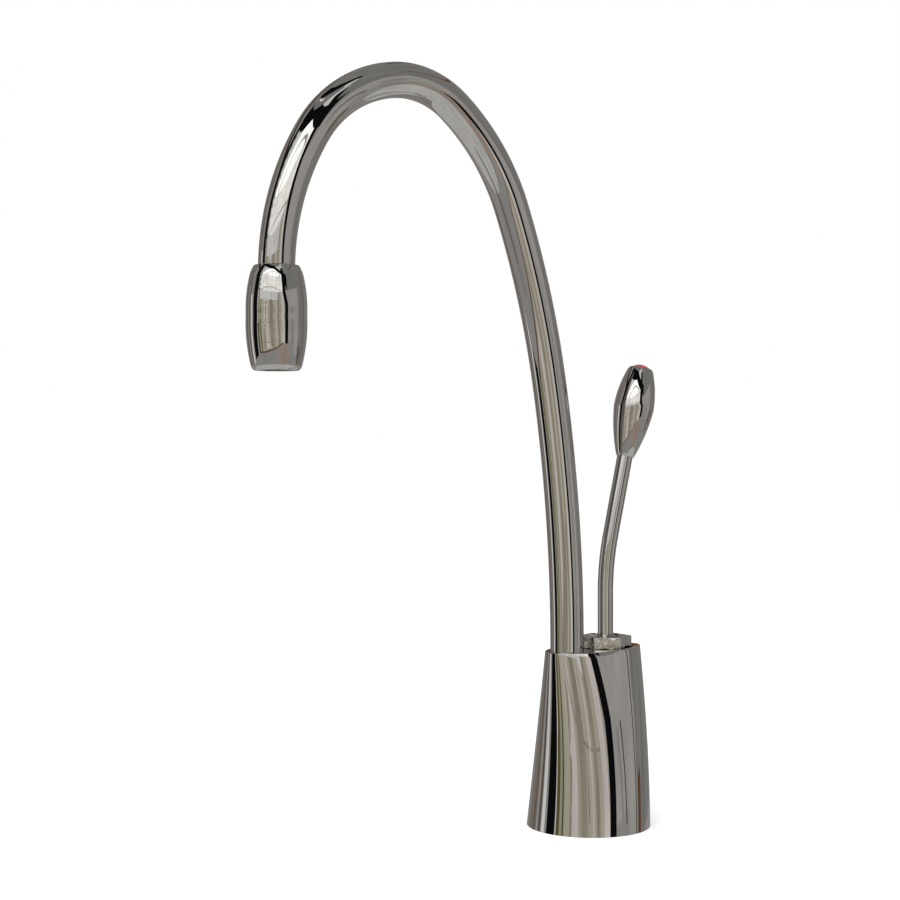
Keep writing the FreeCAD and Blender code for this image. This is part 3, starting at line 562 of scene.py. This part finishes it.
def fill_between(bm, loops, normal):
    """Flat face with holes between closed loops that lie in one plane."""
    edges = []
    for loop in loops:
        for k, vert in enumerate(loop):
            pair = (vert, loop[(k + 1) % len(loop)])
            edges.append(bm.edges.get(pair) or bm.edges.new(pair))
    bmesh.ops.triangle_fill(bm, use_beauty=True, edges=edges, normal=normal)


def rim_rounding_loops(bm, rims, steps):
    """Loops from the wall over to the top face, on the curve that rounds the rim."""
    centre = casing_oval(TOP_HEIGHT)[0]
    middle = Vector((0, centre, top_plane(centre)))
    loops = []
    for step in range(steps + 1):
        t = step / steps
        points = []
        for k, corner in enumerate(rims):
            angle = math.tau * k / len(rims)
            down = (casing_point(angle, corner.z - MM) - corner).normalized()
            inward = (middle - corner).normalized()
            start = corner + down * RIM_ROUNDING
            end = corner + inward * RIM_ROUNDING
            points.append(start * (1 - t) ** 2 + corner * 2 * t * (1 - t) + end * t ** 2)
        loops.append(add_loop(bm, points))
    return loops


def casing():
    bm = bmesh.new()
    sides = 192
    outer, rims = wall_loops(bm, 0.0, 0.0, 36, sides)
    rounding = rim_rounding_loops(bm, rims, 4)
    bridge_all(bm, outer + rounding)
    # the holes for the tube and for the nut, down to the ceiling inside
    hole_sides = 96
    tube_hole = TUBE_RADIUS + TUBE_HOLE_ROOM
    nut_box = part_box("bonnet_nut")
    seat = nut_box[1][2] - NUT_HEIGHT
    pocket = (nut_box[1][0] - nut_box[0][0]) / 2 + NUT_POCKET_ROOM
    thread_hole = NUT_THREAD_HOLE_RADIUS
    tube_top = hole_loop(bm, SPOUT_AXIS_Y, tube_hole, hole_sides)
    tube_low = hole_loop(bm, SPOUT_AXIS_Y, tube_hole, hole_sides, drop=CASING_TOP_WALL)
    pocket_top = hole_loop(bm, VALVE_AXIS_Y, pocket, hole_sides)
    pocket_low = hole_loop(bm, VALVE_AXIS_Y, pocket, hole_sides, height=seat)
    seat_inner = hole_loop(bm, VALVE_AXIS_Y, thread_hole, hole_sides, height=seat)
    seat_low = hole_loop(bm, VALVE_AXIS_Y, thread_hole, hole_sides, drop=CASING_TOP_WALL)
    up = Vector((0, -math.sin(TOP_TILT), math.cos(TOP_TILT)))
    fill_between(bm, [rounding[-1], tube_top, pocket_top], up)
    bridge(bm, tube_top, tube_low)
    bridge_all(bm, [pocket_top, pocket_low, seat_inner, seat_low])
    # inside
    inner, inner_rims = wall_loops(bm, CASING_WALL, CASING_TOP_WALL, 8, sides)
    inner.append(add_loop(bm, inner_rims))
    bridge_all(bm, inner)
    fill_between(bm, [inner[-1], tube_low, seat_low], -up)
    bridge(bm, inner[0], outer[0])
    return finished("casing", bm, 30.0)


# ---- spout ----
def gooseneck_points():
    """Points along the tube's middle line, from the socket up and over to the outlet."""
    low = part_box("spout_tube")[0][2]
    y, z, angle = SPOUT_AXIS_Y, TOP_HEIGHT + TUBE_STRAIGHT_RISE, 0.0
    points = [Vector((0, y, low)), Vector((0, y, (low + z) / 2)), Vector((0, y, z))]
    for radius_mm, degrees in GOOSENECK_ARCS:
        radius, turn = radius_mm * MM, math.radians(degrees)
        centre_y = y - radius * math.cos(angle)
        centre_z = z - radius * math.sin(angle)
        steps = max(6, round(radius * turn / ARC_STEP))
        for k in range(1, steps + 1):
            a = angle + turn * k / steps
            points.append(Vector((0, centre_y + radius * math.cos(a), centre_z + radius * math.sin(a))))
        angle += turn
        y, z = points[-1].y, points[-1].z
    points.append(Vector((0, y, z - TUBE_END_LENGTH)))
    return points


def line_object(name, points):
    curve = bpy.data.curves.new(name, "CURVE")
    curve.dimensions = "3D"
    spline = curve.splines.new("POLY")
    spline.points.add(len(points) - 1)
    for target, point in zip(spline.points, points):
        target.co = (*point, 1.0)
    return mesh_object(name, curve)


def gooseneck():
    line = line_object("gooseneck_line", gooseneck_points())
    use_tree(line, bent_pipe_tree(), radius=TUBE_RADIUS, sides=128, material=finishes["polished_chrome"])
    skin = settled(line, "gooseneck_skin")
    wall = skin.modifiers.new("wall", "SOLIDIFY")
    wall.thickness = TUBE_WALL
    wall.offset = -1.0
    return settled(skin, "gooseneck")


def nozzle_barrel():
    """Barrel with a lip below and a neck above; radii and heights are in millimetres."""
    low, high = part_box("outlet_nozzle")
    outlet_y = (low[1] + high[1]) / 2
    bottom = low[2] / MM
    top = high[2] / MM
    face = (8.2, bottom)
    foot = (9.45, bottom + 1.9)
    widest = (11.22, bottom + 20.3)
    shoulder = (10.0, top - 4.2)
    crown = (8.4, top - 0.12)
    outlet, neck, chamber = 6.2, 7.1, 8.5
    lip_top = bottom + 2.5
    chamber_top = bottom + 33.0
    outline = profile(
        (outlet, bottom + 0.15), (outlet + 0.15, bottom), face,
        bowed(face, foot, 0.2), bowed(foot, widest, 0.64),
        bowed(widest, shoulder, 0.43), bowed(shoulder, crown, 0.18),
        (8.28, top), (neck + 0.1, top), (neck, top - 0.1),
        (neck, chamber_top), (chamber, chamber_top), (chamber, lip_top), (outlet, lip_top), steps=18)
    return turned("nozzle_barrel", outline, 160, at_height(outlet_y))


# ---- nut ----
def hexagon_radius(angle, apothem, rounding):
    """Distance from the axis to a hexagon with rounded corners, flats to the front and the back."""
    sector = math.remainder(angle - math.pi / 2, math.pi / 3)
    flat = apothem / math.cos(sector)
    centre = (apothem - rounding) / math.cos(math.pi / 6)
    off = math.pi / 6 - abs(sector)
    inside = rounding ** 2 - (centre * math.sin(off)) ** 2
    if inside <= 0:
        return flat
    corner = centre * math.cos(off) + math.sqrt(inside)
    return min(flat, corner)


def nut_angles():
    """Angles of one turn, close together at the six corners."""
    at_corner = (-2.6, -2.0, -1.5, -1.0, -0.5, 0.0, 0.5, 1.0, 1.5, 2.0, 2.6)
    along_flat = (8, 14, 20, 26, 30, 34, 40, 46, 52)
    angles = []
    for corner in range(6):
        angles += [corner * math.pi / 3 + math.radians(degrees) for degrees in at_corner + along_flat]
    return angles


def hex_nut():
    low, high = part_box("bonnet_nut")
    apothem = (high[1] - low[1]) / 2
    top = high[2]
    seat = top - NUT_HEIGHT
    edge = NUT_EDGE_ROUNDING
    bm = bmesh.new()
    angles = nut_angles()

    def hexagonal(height, shrink=0.0):
        loop = []
        for angle in angles:
            r = hexagon_radius(angle, apothem - shrink, NUT_CORNER_ROUNDING)
            loop.append((r * math.cos(angle), VALVE_AXIS_Y + r * math.sin(angle), height))
        return add_loop(bm, loop)

    def circular(height, radius):
        return add_loop(bm, [(radius * math.cos(a), VALVE_AXIS_Y + radius * math.sin(a), height)
                             for a in angles])

    rows = [circular(low[2], NUT_SKIRT_RADIUS), circular(seat, NUT_SKIRT_RADIUS)]
    rows += [hexagonal(seat), hexagonal(top - edge)]
    for t in (0.25, 0.5, 0.75, 1.0):
        a = t * math.pi / 2
        rows.append(hexagonal(top - edge + edge * math.sin(a), edge * (1 - math.cos(a))))
    rim = apothem - NUT_DISH_RIM
    rows.append(circular(top, rim))
    for t in (0.25, 0.5, 0.75, 1.0):
        rows.append(circular(top - NUT_DISH_DEPTH * t, rim + (NUT_MOUTH_RADIUS - rim) * t))
    rows += [circular(top - NUT_WEB, NUT_MOUTH_RADIUS), circular(top - NUT_WEB, NUT_SKIRT_BORE)]
    rows.append(circular(low[2], NUT_SKIRT_BORE))
    bridge_all(bm, rows)
    bridge(bm, rows[-1], rows[0])
    return finished("hex_nut", bm, 24.0)


# ---- lever ----
def stem_points():
    """Points along the stem's middle line, from its foot up to the knob."""
    bend_start = PIVOT_Z + STEM_ABOVE_PIVOT
    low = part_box("lever_stem")[0][2]
    points = [Vector((0, VALVE_AXIS_Y, low)), Vector((0, VALVE_AXIS_Y, bend_start))]
    steps = 24
    for k in range(1, steps + 1):
        a = STEM_LEAN * k / steps
        points.append(Vector((0, VALVE_AXIS_Y + STEM_BEND_RADIUS * (1 - math.cos(a)),
                              bend_start + STEM_BEND_RADIUS * math.sin(a))))
    way = Vector((0, math.sin(STEM_LEAN), math.cos(STEM_LEAN)))
    points.append(points[-1] + way * STEM_LEAN_LENGTH)
    return points


def closed_ends(pipe, name):
    """A bent pipe with its two ends filled."""
    bm = bmesh.new()
    bm.from_mesh(pipe.data)
    bpy.data.objects.remove(pipe)
    ends = [edge for edge in bm.edges if len(edge.link_faces) == 1]
    bmesh.ops.holes_fill(bm, edges=ends, sides=0)
    return finished(name, bm)


def lever_rod():
    line = line_object("lever_line", stem_points())
    use_tree(line, bent_pipe_tree(), radius=STEM_RADIUS, sides=96, material=finishes["polished_chrome"])
    return closed_ends(settled(line, "lever_skin"), "lever_rod")


def on_knob():
    """Place and lean of what is made about the knob's own axis."""
    return Matrix.Translation(stem_points()[-1]) @ Matrix.Rotation(-STEM_LEAN, 4, "X")


def lever_grip():
    """Tulip-shaped knob with a bore for the stem's end below and a socket for the button above."""
    neck = (3.66, 0.12)
    widest = (8.27, 20.7)
    shoulder = (5.3, 36.4)
    rim = (4.65, KNOB_HEIGHT_MM)
    stem_bore, stem_bore_top = 2.55, 9.3
    socket = BUTTON_RADIUS_MM + 0.04
    outline = profile(
        (stem_bore, 0.0), (3.54, 0.0), neck,
        bowed(neck, widest, 0.73), bowed(widest, shoulder, 0.67), bowed(shoulder, rim, 0.04),
        (socket + 0.1, KNOB_HEIGHT_MM), (socket, KNOB_HEIGHT_MM - 0.1), (socket, KNOB_SOCKET_MM),
        (0.0, KNOB_SOCKET_MM), (0.0, stem_bore_top), (stem_bore, stem_bore_top), steps=22)
    return turned("lever_grip", outline, 144, on_knob())


def red_button():
    """Disc with a rounded edge and a dome, set in the knob's socket."""
    edge = BUTTON_RADIUS_MM - 0.02
    rim = KNOB_HEIGHT_MM
    outline = profile(
        (0.0, KNOB_SOCKET_MM), (edge, KNOB_SOCKET_MM), (edge, rim - 0.06),
        ((edge - 0.02, rim + 0.03), (edge - 0.1, rim + 0.09)),
        ((2.15, rim + 1.16), (0.0, rim + 1.58)), steps=14)
    return turned("red_button", outline, 96, on_knob())


def spring_coil():
    """Helix between the pocket's floor and the plunger's head."""
    low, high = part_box("return_spring")
    coil_radius = (high[0] - low[0]) / 2 - SPRING_WIRE_RADIUS
    bottom = low[2] + SPRING_WIRE_RADIUS
    rise = high[2] - low[2] - 2 * SPRING_WIRE_RADIUS
    steps = round(SPRING_TURNS * 32)
    points = []
    for k in range(steps + 1):
        angle = math.tau * SPRING_TURNS * k / steps
        across = coil_radius * math.cos(angle)
        along = VALVE_AXIS_Y + coil_radius * math.sin(angle)
        points.append(Vector((across, along, bottom + rise * k / steps)))
    line = line_object("spring_line", points)
    use_tree(line, bent_pipe_tree(), radius=SPRING_WIRE_RADIUS, sides=16, material=finishes["steel"])
    return closed_ends(settled(line, "spring_skin"), "spring_coil")


# ---- below the worktop ----
def shank():
    """Threaded pipe that goes through the worktop."""
    low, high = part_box("threaded_shank")
    radius = high[0]
    bore = radius - SHANK_WALL
    count = round((high[2] - low[2]) / THREAD_PITCH * THREAD_ROWS_PER_TURN)
    outline = [(radius, low[2] + (high[2] - low[2]) * k / count) for k in range(count + 1)]
    outline += [(bore, high[2]), (bore, low[2])]
    plain = turned("shank_blank", outline, 96)
    use_tree(plain, cut_thread_tree(), radius=radius, low=low[2], high=high[2],
             material=finishes["brass"])
    return settled(plain, "shank")


def back_nut():
    """Hexagonal nut with chamfered corners, on the shank below the worktop."""
    low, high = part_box("fixing_nut")
    apothem = (high[1] - low[1]) / 2
    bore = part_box("threaded_shank")[1][0] + BACK_NUT_GAP
    bevel = BACK_NUT_BEVEL
    bm = bmesh.new()
    sides = 180
    angles = [math.tau * k / sides for k in range(sides)]
    corner = apothem / math.cos(math.pi / 6)
    face = apothem * BACK_NUT_FACE_SHARE
    chamfer_slope = math.tan(BACK_NUT_CHAMFER)

    def row(height, reach):
        points = []
        for a in angles:
            r = min(hexagon_radius(a, apothem, BACK_NUT_CORNER_ROUNDING), reach)
            points.append((r * math.cos(a), r * math.sin(a), height))
        return add_loop(bm, points)

    def circle(height, radius):
        return add_loop(bm, [(radius * math.cos(a), radius * math.sin(a), height) for a in angles])

    reaches = [face + (corner - face) * k / 6 for k in range(1, 7)]
    rows = [circle(low[2] + bevel, bore), circle(low[2], bore + bevel), circle(low[2], face)]
    rows += [row(low[2] + (reach - face) * chamfer_slope, reach) for reach in reaches]
    rows += [row(high[2] - (reach - face) * chamfer_slope, reach) for reach in reversed(reaches)]
    rows += [circle(high[2], face), circle(high[2], bore + bevel), circle(high[2] - bevel, bore)]
    bridge_all(bm, rows)
    bridge(bm, rows[-1], rows[0])
    return finished("back_nut", bm, 20.0)


def washer(name, node, rounding):
    """Flat ring with rounded edges."""
    low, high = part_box(node)
    outer = high[0] / MM
    inner = WASHER_BORE_RADIUS_MM
    bottom, top = low[2] / MM, high[2] / MM
    r = rounding
    k = r * (1 - math.sqrt(0.5))
    outline = profile(
        (inner + r, bottom), (outer - r, bottom), ((outer - k, bottom + k), (outer, bottom + r)),
        (outer, top - r), ((outer - k, top - k), (outer - r, top)), (inner + r, top),
        ((inner + k, top - k), (inner, top - r)), (inner, bottom + r),
        ((inner + k, bottom + k), (inner + r, bottom)), steps=5)
    return turned(name, outline[:-1], 144)


def hose_tail(name, node):
    """Short pipe with a bead that holds the hose."""
    low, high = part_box(node)
    x, y = (low[0] + high[0]) / 2, (low[1] + high[1]) / 2
    bottom, top = low[2] / MM, high[2] / MM
    bead = TAIL_BEAD_HEIGHT_MM
    radius, bore = TAIL_RADIUS_MM, TAIL_BORE_RADIUS_MM
    outline = profile(
        (bore, bottom + 0.2), (bore + 0.2, bottom), (radius - 0.5, bottom),
        ((radius - 0.15, bottom + 0.2), (radius, bottom + 0.6)),
        (radius, bead), ((radius + 0.52, bead + 0.6), (radius, bead + 1.2)),
        (radius, top), (bore, top), steps=8)
    return turned(name, outline, 64, at_height(y, 0.0, x))


def fit_spring():
    """The spring stands on the base, with a mesh of its own."""
    spring = fit_piece(spring_coil(), "base", "steel", "return_spring")
    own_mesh(spring)


def build_pieces():
    chrome = "polished_chrome"
    fit_piece(casing(), "base", chrome, "base_shell")
    fit_piece(hex_nut(), "base", chrome, "bonnet_nut", finish=plated_nut())
    fit_piece(gooseneck(), "spout", chrome, "spout_tube")
    fit_piece(nozzle_barrel(), "spout", chrome, "outlet_nozzle")
    fit_piece(lever_rod(), "lever", chrome, "lever_stem")
    fit_piece(lever_grip(), "lever", chrome, "lever_knob")
    fit_piece(red_button(), "lever", "red_plastic", "index_button")
    fit_spring()
    fit_piece(shank(), "base", "brass", "threaded_shank")
    fit_piece(back_nut(), "base", "brass", "fixing_nut")
    fit_piece(washer("sealing_gasket", "base_gasket", 0.35), "base", "black_rubber", "base_gasket")
    fit_piece(washer("rubber_ring", "fixing_rubber_washer", 0.45), "base", "black_rubber",
              "fixing_rubber_washer")
    fit_piece(washer("steel_ring", "fixing_steel_washer", 0.2), "base", "steel", "fixing_steel_washer")
    for node in ("cold_inlet_tail", "tank_feed_tail", "hot_return_tail"):
        fit_piece(hose_tail(node + "_pipe", node), "base", "brass", node)


build_pieces()

# ---- CAD nodes that show as they are ----
slot_of_node = {part["node"]: part["material_slot"] for part in frame["record"]["subparts"]}
for name, node in frame["nodes"].items():
    if not node.hide_render:
        node.data.materials.clear()
        node.data.materials.append(finishes[slot_of_node[name]])


# ---- studio ----
# Directions round the tap are in degrees: azimuth 0 points to the camera, and grows to its right.
CAMERA_PLACE = Vector((0.5634, -0.3902, 0.152))
CAMERA_AZIMUTH = 60.0
CAMERA_SENSOR_MM = 36.0
CAMERA_LENS_MM = 67.2
ROOM_MIDDLE = Vector((0.0, -0.04, 0.15))
WORLD_SEEN = 1.0
WORLD_LIGHT = 0.78
FLOOR_HALF = 30.0
FLOOR_COLOUR = 0.93
FLOOR_GLOW = 0.3

# tones of the reflected room
WINDOW = (1.95, 1.95, 1.93)
BLIND = (1.25, 1.24, 1.21)
REVEAL = (0.85, 0.85, 0.85)
PALE = (0.78, 0.73, 0.70)
CREAM = (0.55, 0.51, 0.43)
TAUPE = (0.36, 0.33, 0.27)
DARK_TAUPE = (0.25, 0.225, 0.21)
SAGE = (0.42, 0.42, 0.29)
OLIVE = (0.13, 0.12, 0.045)
BROWN = (0.16, 0.085, 0.045)
DUSTY_BROWN = (0.42, 0.34, 0.29)
WARM_GREY = (0.31, 0.295, 0.28)
LIGHT_GREY = (0.62, 0.62, 0.61)
GREY = (0.46, 0.45, 0.435)
MIDDLE_GREY = (0.36, 0.355, 0.345)
DIM_GREY = (0.27, 0.265, 0.26)
DARK = (0.06, 0.055, 0.05)
BLACK = (0.006, 0.006, 0.007)

# distances from the tap at which the cards of the room stand, in metres
WALL = 3.6
HANGING = 3.4
DETAIL = 3.2
FRAME = 3.0


def room_tone(colour):
    """Plain glowing surface with a slow change of brightness, as a wall has."""
    material, nodes, links, shader = new_material("room_tone")
    nodes.remove(shader)
    glow = nodes.new("ShaderNodeEmission")
    glow.inputs["Color"].default_value = (*colour, 1.0)
    change = object_noise(nodes, links, 1.6, 2.0)
    links.new(ranged(nodes, links, change, 0.88, 1.12), glow.inputs["Strength"])
    links.new(glow.outputs[0], nodes["Material Output"].inputs["Surface"])
    return material


def room_point(azimuth, elevation, distance):
    """Place in that direction from the middle of the tap."""
    turn = math.radians(CAMERA_AZIMUTH - 90.0 + azimuth)
    rise = math.radians(elevation)
    level = distance * math.cos(rise)
    return ROOM_MIDDLE + Vector((level * math.cos(turn), level * math.sin(turn), distance * math.sin(rise)))


def room_card(name, colour, distance, azimuths, elevations, lean=0.0, rise=0.0, arch=0.0, sill=0.0):
    """Curved card that only reflections show.

    The upper edge is lean degrees further round than the lower one, and the right end rise degrees higher
    than the left one. The ends of the upper edge are arch degrees lower than its middle, and those of the
    lower edge sill degrees.
    """
    (left, right), (low, high) = azimuths, elevations
    across = max(2, round((right - left) / 2))
    up = max(2, round((high - low) / 3))
    points = []
    for row in range(up + 1):
        height = row / up
        for column in range(across + 1):
            share = column / across
            off_middle = (2 * share - 1) ** 2
            bottom = low - sill * off_middle
            top = high - arch * off_middle
            elevation = bottom + (top - bottom) * height + rise * share
            azimuth = left + (right - left) * share + lean * height
            points.append(room_point(azimuth, elevation, distance))
    faces = []
    for row in range(up):
        for column in range(across):
            first = row * (across + 1) + column
            faces.append((first, first + 1, first + across + 2, first + across + 1))
    mesh = bpy.data.meshes.new(name)
    mesh.from_pydata(points, [], faces)
    mesh.materials.append(room_tone(colour))
    card = mesh_object(name, mesh)
    card.visible_camera = False
    card.visible_diffuse = False
    card.visible_shadow = False


def room_shell():
    """Walls and ceiling all round, and the worktop below."""
    room_card("ceiling", DIM_GREY, WALL, (-180, 180), (57, 90))
    room_card("left_wall", MIDDLE_GREY, WALL, (-106, -60), (-14, 57))
    room_card("far_left_wall", DARK_TAUPE, WALL, (-152, -106), (-14, 57))
    room_card("right_wall", GREY, WALL, (30, 98), (-14, 18))
    room_card("right_wall_above", DIM_GREY, WALL, (30, 98), (18, 57))
    room_card("far_right_wall", DIM_GREY, WALL, (98, 152), (-14, 57))
    room_card("wall_behind", WARM_GREY, WALL, (152, 208), (-90, 57))
    room_card("shelf_behind", BROWN, HANGING, (166, 196), (2, 9))
    room_card("post_behind", BLACK, HANGING, (173, 178), (9, 60))
    room_card("worktop", LIGHT_GREY, WALL, (-152, 152), (-90, -28))
    room_card("worktop_front", MIDDLE_GREY, WALL, (-152, 152), (-28, -12))


def room_window():
    """Arched window with mullions, below a deep black lintel between black frames."""
    room_card("over_window", REVEAL, WALL, (-66, 34), (17, 57))
    room_card("window", WINDOW, HANGING, (-60, 29), (17, 50), arch=22)
    room_card("blind", BLIND, DETAIL, (-60, 29), (17, 29))
    room_card("low_panes", REVEAL, DETAIL, (-60, 8), (11, 17.2))
    room_card("window_arch", GREY, DETAIL, (-50, 26), (39, 40.5), arch=17, sill=17.5)
    room_card("window_rail", GREY, FRAME, (-60, 26), (20.3, 20.9), arch=4, sill=4)
    for azimuth in (-44, -30, -15, 0, 14):
        room_card("mullion", LIGHT_GREY, DETAIL, (azimuth, azimuth + 1.6), (17, 36))
    room_card("left_frame", BLACK, FRAME, (-90, -71), (-12, 56), lean=3)
    room_card("right_frame", BLACK, FRAME, (37, 49), (-9, 8), lean=-1)
    room_card("right_frame_bend", BLACK, FRAME, (36, 48), (7.9, 17), lean=-9)
    room_card("right_frame_top", BLACK, FRAME, (27, 39), (16.9, 50), lean=-6)
    room_card("lintel", BLACK, FRAME, (-90, -8), (51, 62), rise=-4)
    room_card("lintel_end", BLACK, FRAME, (-8, 46), (47, 58), rise=-29)
    room_card("left_beam", BLACK, FRAME, (-176, -88), (42, 47), arch=6, sill=8)
    room_card("right_beam", BROWN, FRAME, (60, 150), (47, 49), arch=6, sill=6)
    room_card("ceiling_beam", BLACK, FRAME, (-110, 40), (70, 79), arch=8, sill=8)
    room_card("ceiling_light", BLIND, FRAME, (-75, -35), (66, 67.5))
    room_card("second_light", BLIND, FRAME, (20, 36), (60, 63))


def room_curtains():
    """Cream wall under the window with its curtains and folds, and the posts to their left."""
    room_card("cream_wall", CREAM, WALL, (-66, 36), (-14, 17))
    room_card("bright_edge", PALE, DETAIL, (-70, -67.5), (-12, 16))
    room_card("green_curtain", OLIVE, DETAIL, (-67, -60), (-12, 4), lean=-2)
    room_card("sage_curtain", SAGE, HANGING, (-60, -49), (-12, 12), lean=-3)
    room_card("dark_fold", DARK, DETAIL, (-53, -50.5), (-12, 6), lean=-5)
    room_card("tan_fold", TAUPE, HANGING, (-42, -37), (-12, 10), lean=4)
    room_card("pale_curtain", PALE, HANGING, (-33, -19), (-12, 15), lean=-12)
    room_card("narrow_fold", TAUPE, HANGING, (-14, -3), (-12, 14), lean=-9)
    room_card("dark_line", DARK, DETAIL, (-2, -1.2), (-3, 15), lean=-15)
    room_card("light_line", PALE, DETAIL, (7, 9), (-12, 15), lean=-8)
    room_card("second_fold", TAUPE, HANGING, (14, 21), (-12, 15), lean=-9)
    room_card("pale_edge", PALE, DETAIL, (27, 37), (-9, 17), lean=-8)
    room_card("picture_rail", TAUPE, DETAIL, (-62, 24), (3.8, 4.2), arch=-1, sill=-1)
    room_card("low_rail", TAUPE, DETAIL, (-60, 20), (-8.6, -8.1), arch=-2, sill=-2)
    room_card("light_post", REVEAL, FRAME, (-104, -95), (-12, 12))
    room_card("dark_edge", DARK, FRAME, (-111, -108), (-12, 20))
    room_card("left_light", GREY, DETAIL, (-120, -116), (-12, 14))
    room_card("left_stripe", BROWN, DETAIL, (-130, -127), (-12, 14))


def room_low_edges():
    """Skirting and worktop edge, and what lies on the worktop to the right."""
    room_card("skirting", BROWN, DETAIL, (-86, 35), (-14.2, -13.2), arch=-5.5, sill=-5.5)
    room_card("worktop_near", MIDDLE_GREY, HANGING, (-88, 37), (-28, -13.4), arch=-5.5)
    room_card("worktop_far", MIDDLE_GREY, HANGING, (37, 76), (-28, -6))
    room_card("bread_board", DUSTY_BROWN, DETAIL, (12, 62), (-27, -9), arch=6, sill=-4)
    room_card("doorway", BROWN, DETAIL, (101, 109), (-18, -6))
    room_card("right_stripe", DARK, DETAIL, (95, 97), (-14, 18), lean=-4)
    room_card("dark_board", MIDDLE_GREY, DETAIL, (61, 65), (-8, 6), lean=-5)
    room_card("dark_slot", DARK, DETAIL, (70, 72), (-8, 6), lean=-5)


def floor():
    """Pale floor that comes to white where nothing shades it, and that is clear from below."""
    mesh = bpy.data.meshes.new("floor")
    corners = [(-FLOOR_HALF, -FLOOR_HALF, 0), (FLOOR_HALF, -FLOOR_HALF, 0),
               (FLOOR_HALF, FLOOR_HALF, 0), (-FLOOR_HALF, FLOOR_HALF, 0)]
    mesh.from_pydata(corners, [], [(0, 1, 2, 3)])
    surface = mesh_object("floor", mesh)
    material, nodes, links, shader = new_material("pale_floor")
    shader.inputs["Base Color"].default_value = (FLOOR_COLOUR, FLOOR_COLOUR, FLOOR_COLOUR, 1.0)
    shader.inputs["Roughness"].default_value = 0.9
    shader.inputs["Specular IOR Level"].default_value = 0.0
    shader.inputs["Emission Color"].default_value = (1.0, 1.0, 1.0, 1.0)
    links.new(background_share(nodes, links, FLOOR_GLOW, 0.0), shader.inputs["Emission Strength"])
    below = nodes.new("ShaderNodeBsdfTransparent")
    side = nodes.new("ShaderNodeNewGeometry")
    either = nodes.new("ShaderNodeMixShader")
    links.new(side.outputs["Backfacing"], either.inputs["Fac"])
    links.new(shader.outputs[0], either.inputs[1])
    links.new(below.outputs[0], either.inputs[2])
    links.new(either.outputs[0], nodes["Material Output"].inputs["Surface"])
    mesh.materials.append(material)
    surface.visible_glossy = False


def background_share(nodes, links, seen, lighting):
    """One value for rays that see the background, directly or in metal or glass, and one for light."""
    path = nodes.new("ShaderNodeLightPath")
    total = path.outputs["Is Camera Ray"]
    for ray in ("Is Glossy Ray", "Is Transmission Ray"):
        add = nodes.new("ShaderNodeMath")
        add.operation = "MAXIMUM"
        links.new(total, add.inputs[0])
        links.new(path.outputs[ray], add.inputs[1])
        total = add.outputs[0]
    spread = nodes.new("ShaderNodeMapRange")
    spread.inputs["To Min"].default_value = lighting
    spread.inputs["To Max"].default_value = seen
    links.new(total, spread.inputs["Value"])
    return spread.outputs[0]


def soft_world():
    """White all round: full strength where it is seen, less as light on the tap."""
    world = bpy.data.worlds.new("studio")
    bpy.context.scene.world = world
    world.use_nodes = True
    nodes, links = world.node_tree.nodes, world.node_tree.links
    background = nodes["Background"]
    background.inputs["Color"].default_value = (1.0, 1.0, 1.0, 1.0)
    links.new(background_share(nodes, links, WORLD_SEEN, WORLD_LIGHT), background.inputs["Strength"])


def soft_lamp(name, azimuth, elevation, distance, size, power):
    """Large square lamp aimed at the tap; the reflected room stands for it in the chrome."""
    light = bpy.data.lights.new(name, "AREA")
    light.size = size
    light.energy = power
    lamp = bpy.data.objects.new(name, light)
    bpy.context.scene.collection.objects.link(lamp)
    lamp.location = room_point(azimuth, elevation, distance)
    lamp.rotation_euler = (ROOM_MIDDLE - lamp.location).to_track_quat("-Z", "Y").to_euler()
    lamp.visible_glossy = False


def photograph_camera():
    """Level camera in front of the tap and to its right, as the photograph has it."""
    camera = bpy.data.objects.new("camera", bpy.data.cameras.new("camera"))
    bpy.context.scene.collection.objects.link(camera)
    camera.data.sensor_width = CAMERA_SENSOR_MM
    camera.data.lens = CAMERA_LENS_MM
    camera.data.clip_start = 0.01
    camera.location = CAMERA_PLACE
    turn = math.radians(CAMERA_AZIMUTH)
    direction = Vector((-math.sin(turn), math.cos(turn), 0.0))
    camera.rotation_euler = direction.to_track_quat("-Z", "Y").to_euler()
    bpy.context.scene.camera = camera


floor()
room_shell()
room_window()
room_curtains()
room_low_edges()
soft_world()
soft_lamp("key_lamp", azimuth=-35.0, elevation=50.0, distance=1.6, size=0.9, power=9.0)
soft_lamp("fill_lamp", azimuth=60.0, elevation=25.0, distance=1.8, size=0.9, power=4.0)
photograph_camera()
bpy.context.scene.view_settings.view_transform = "Standard"
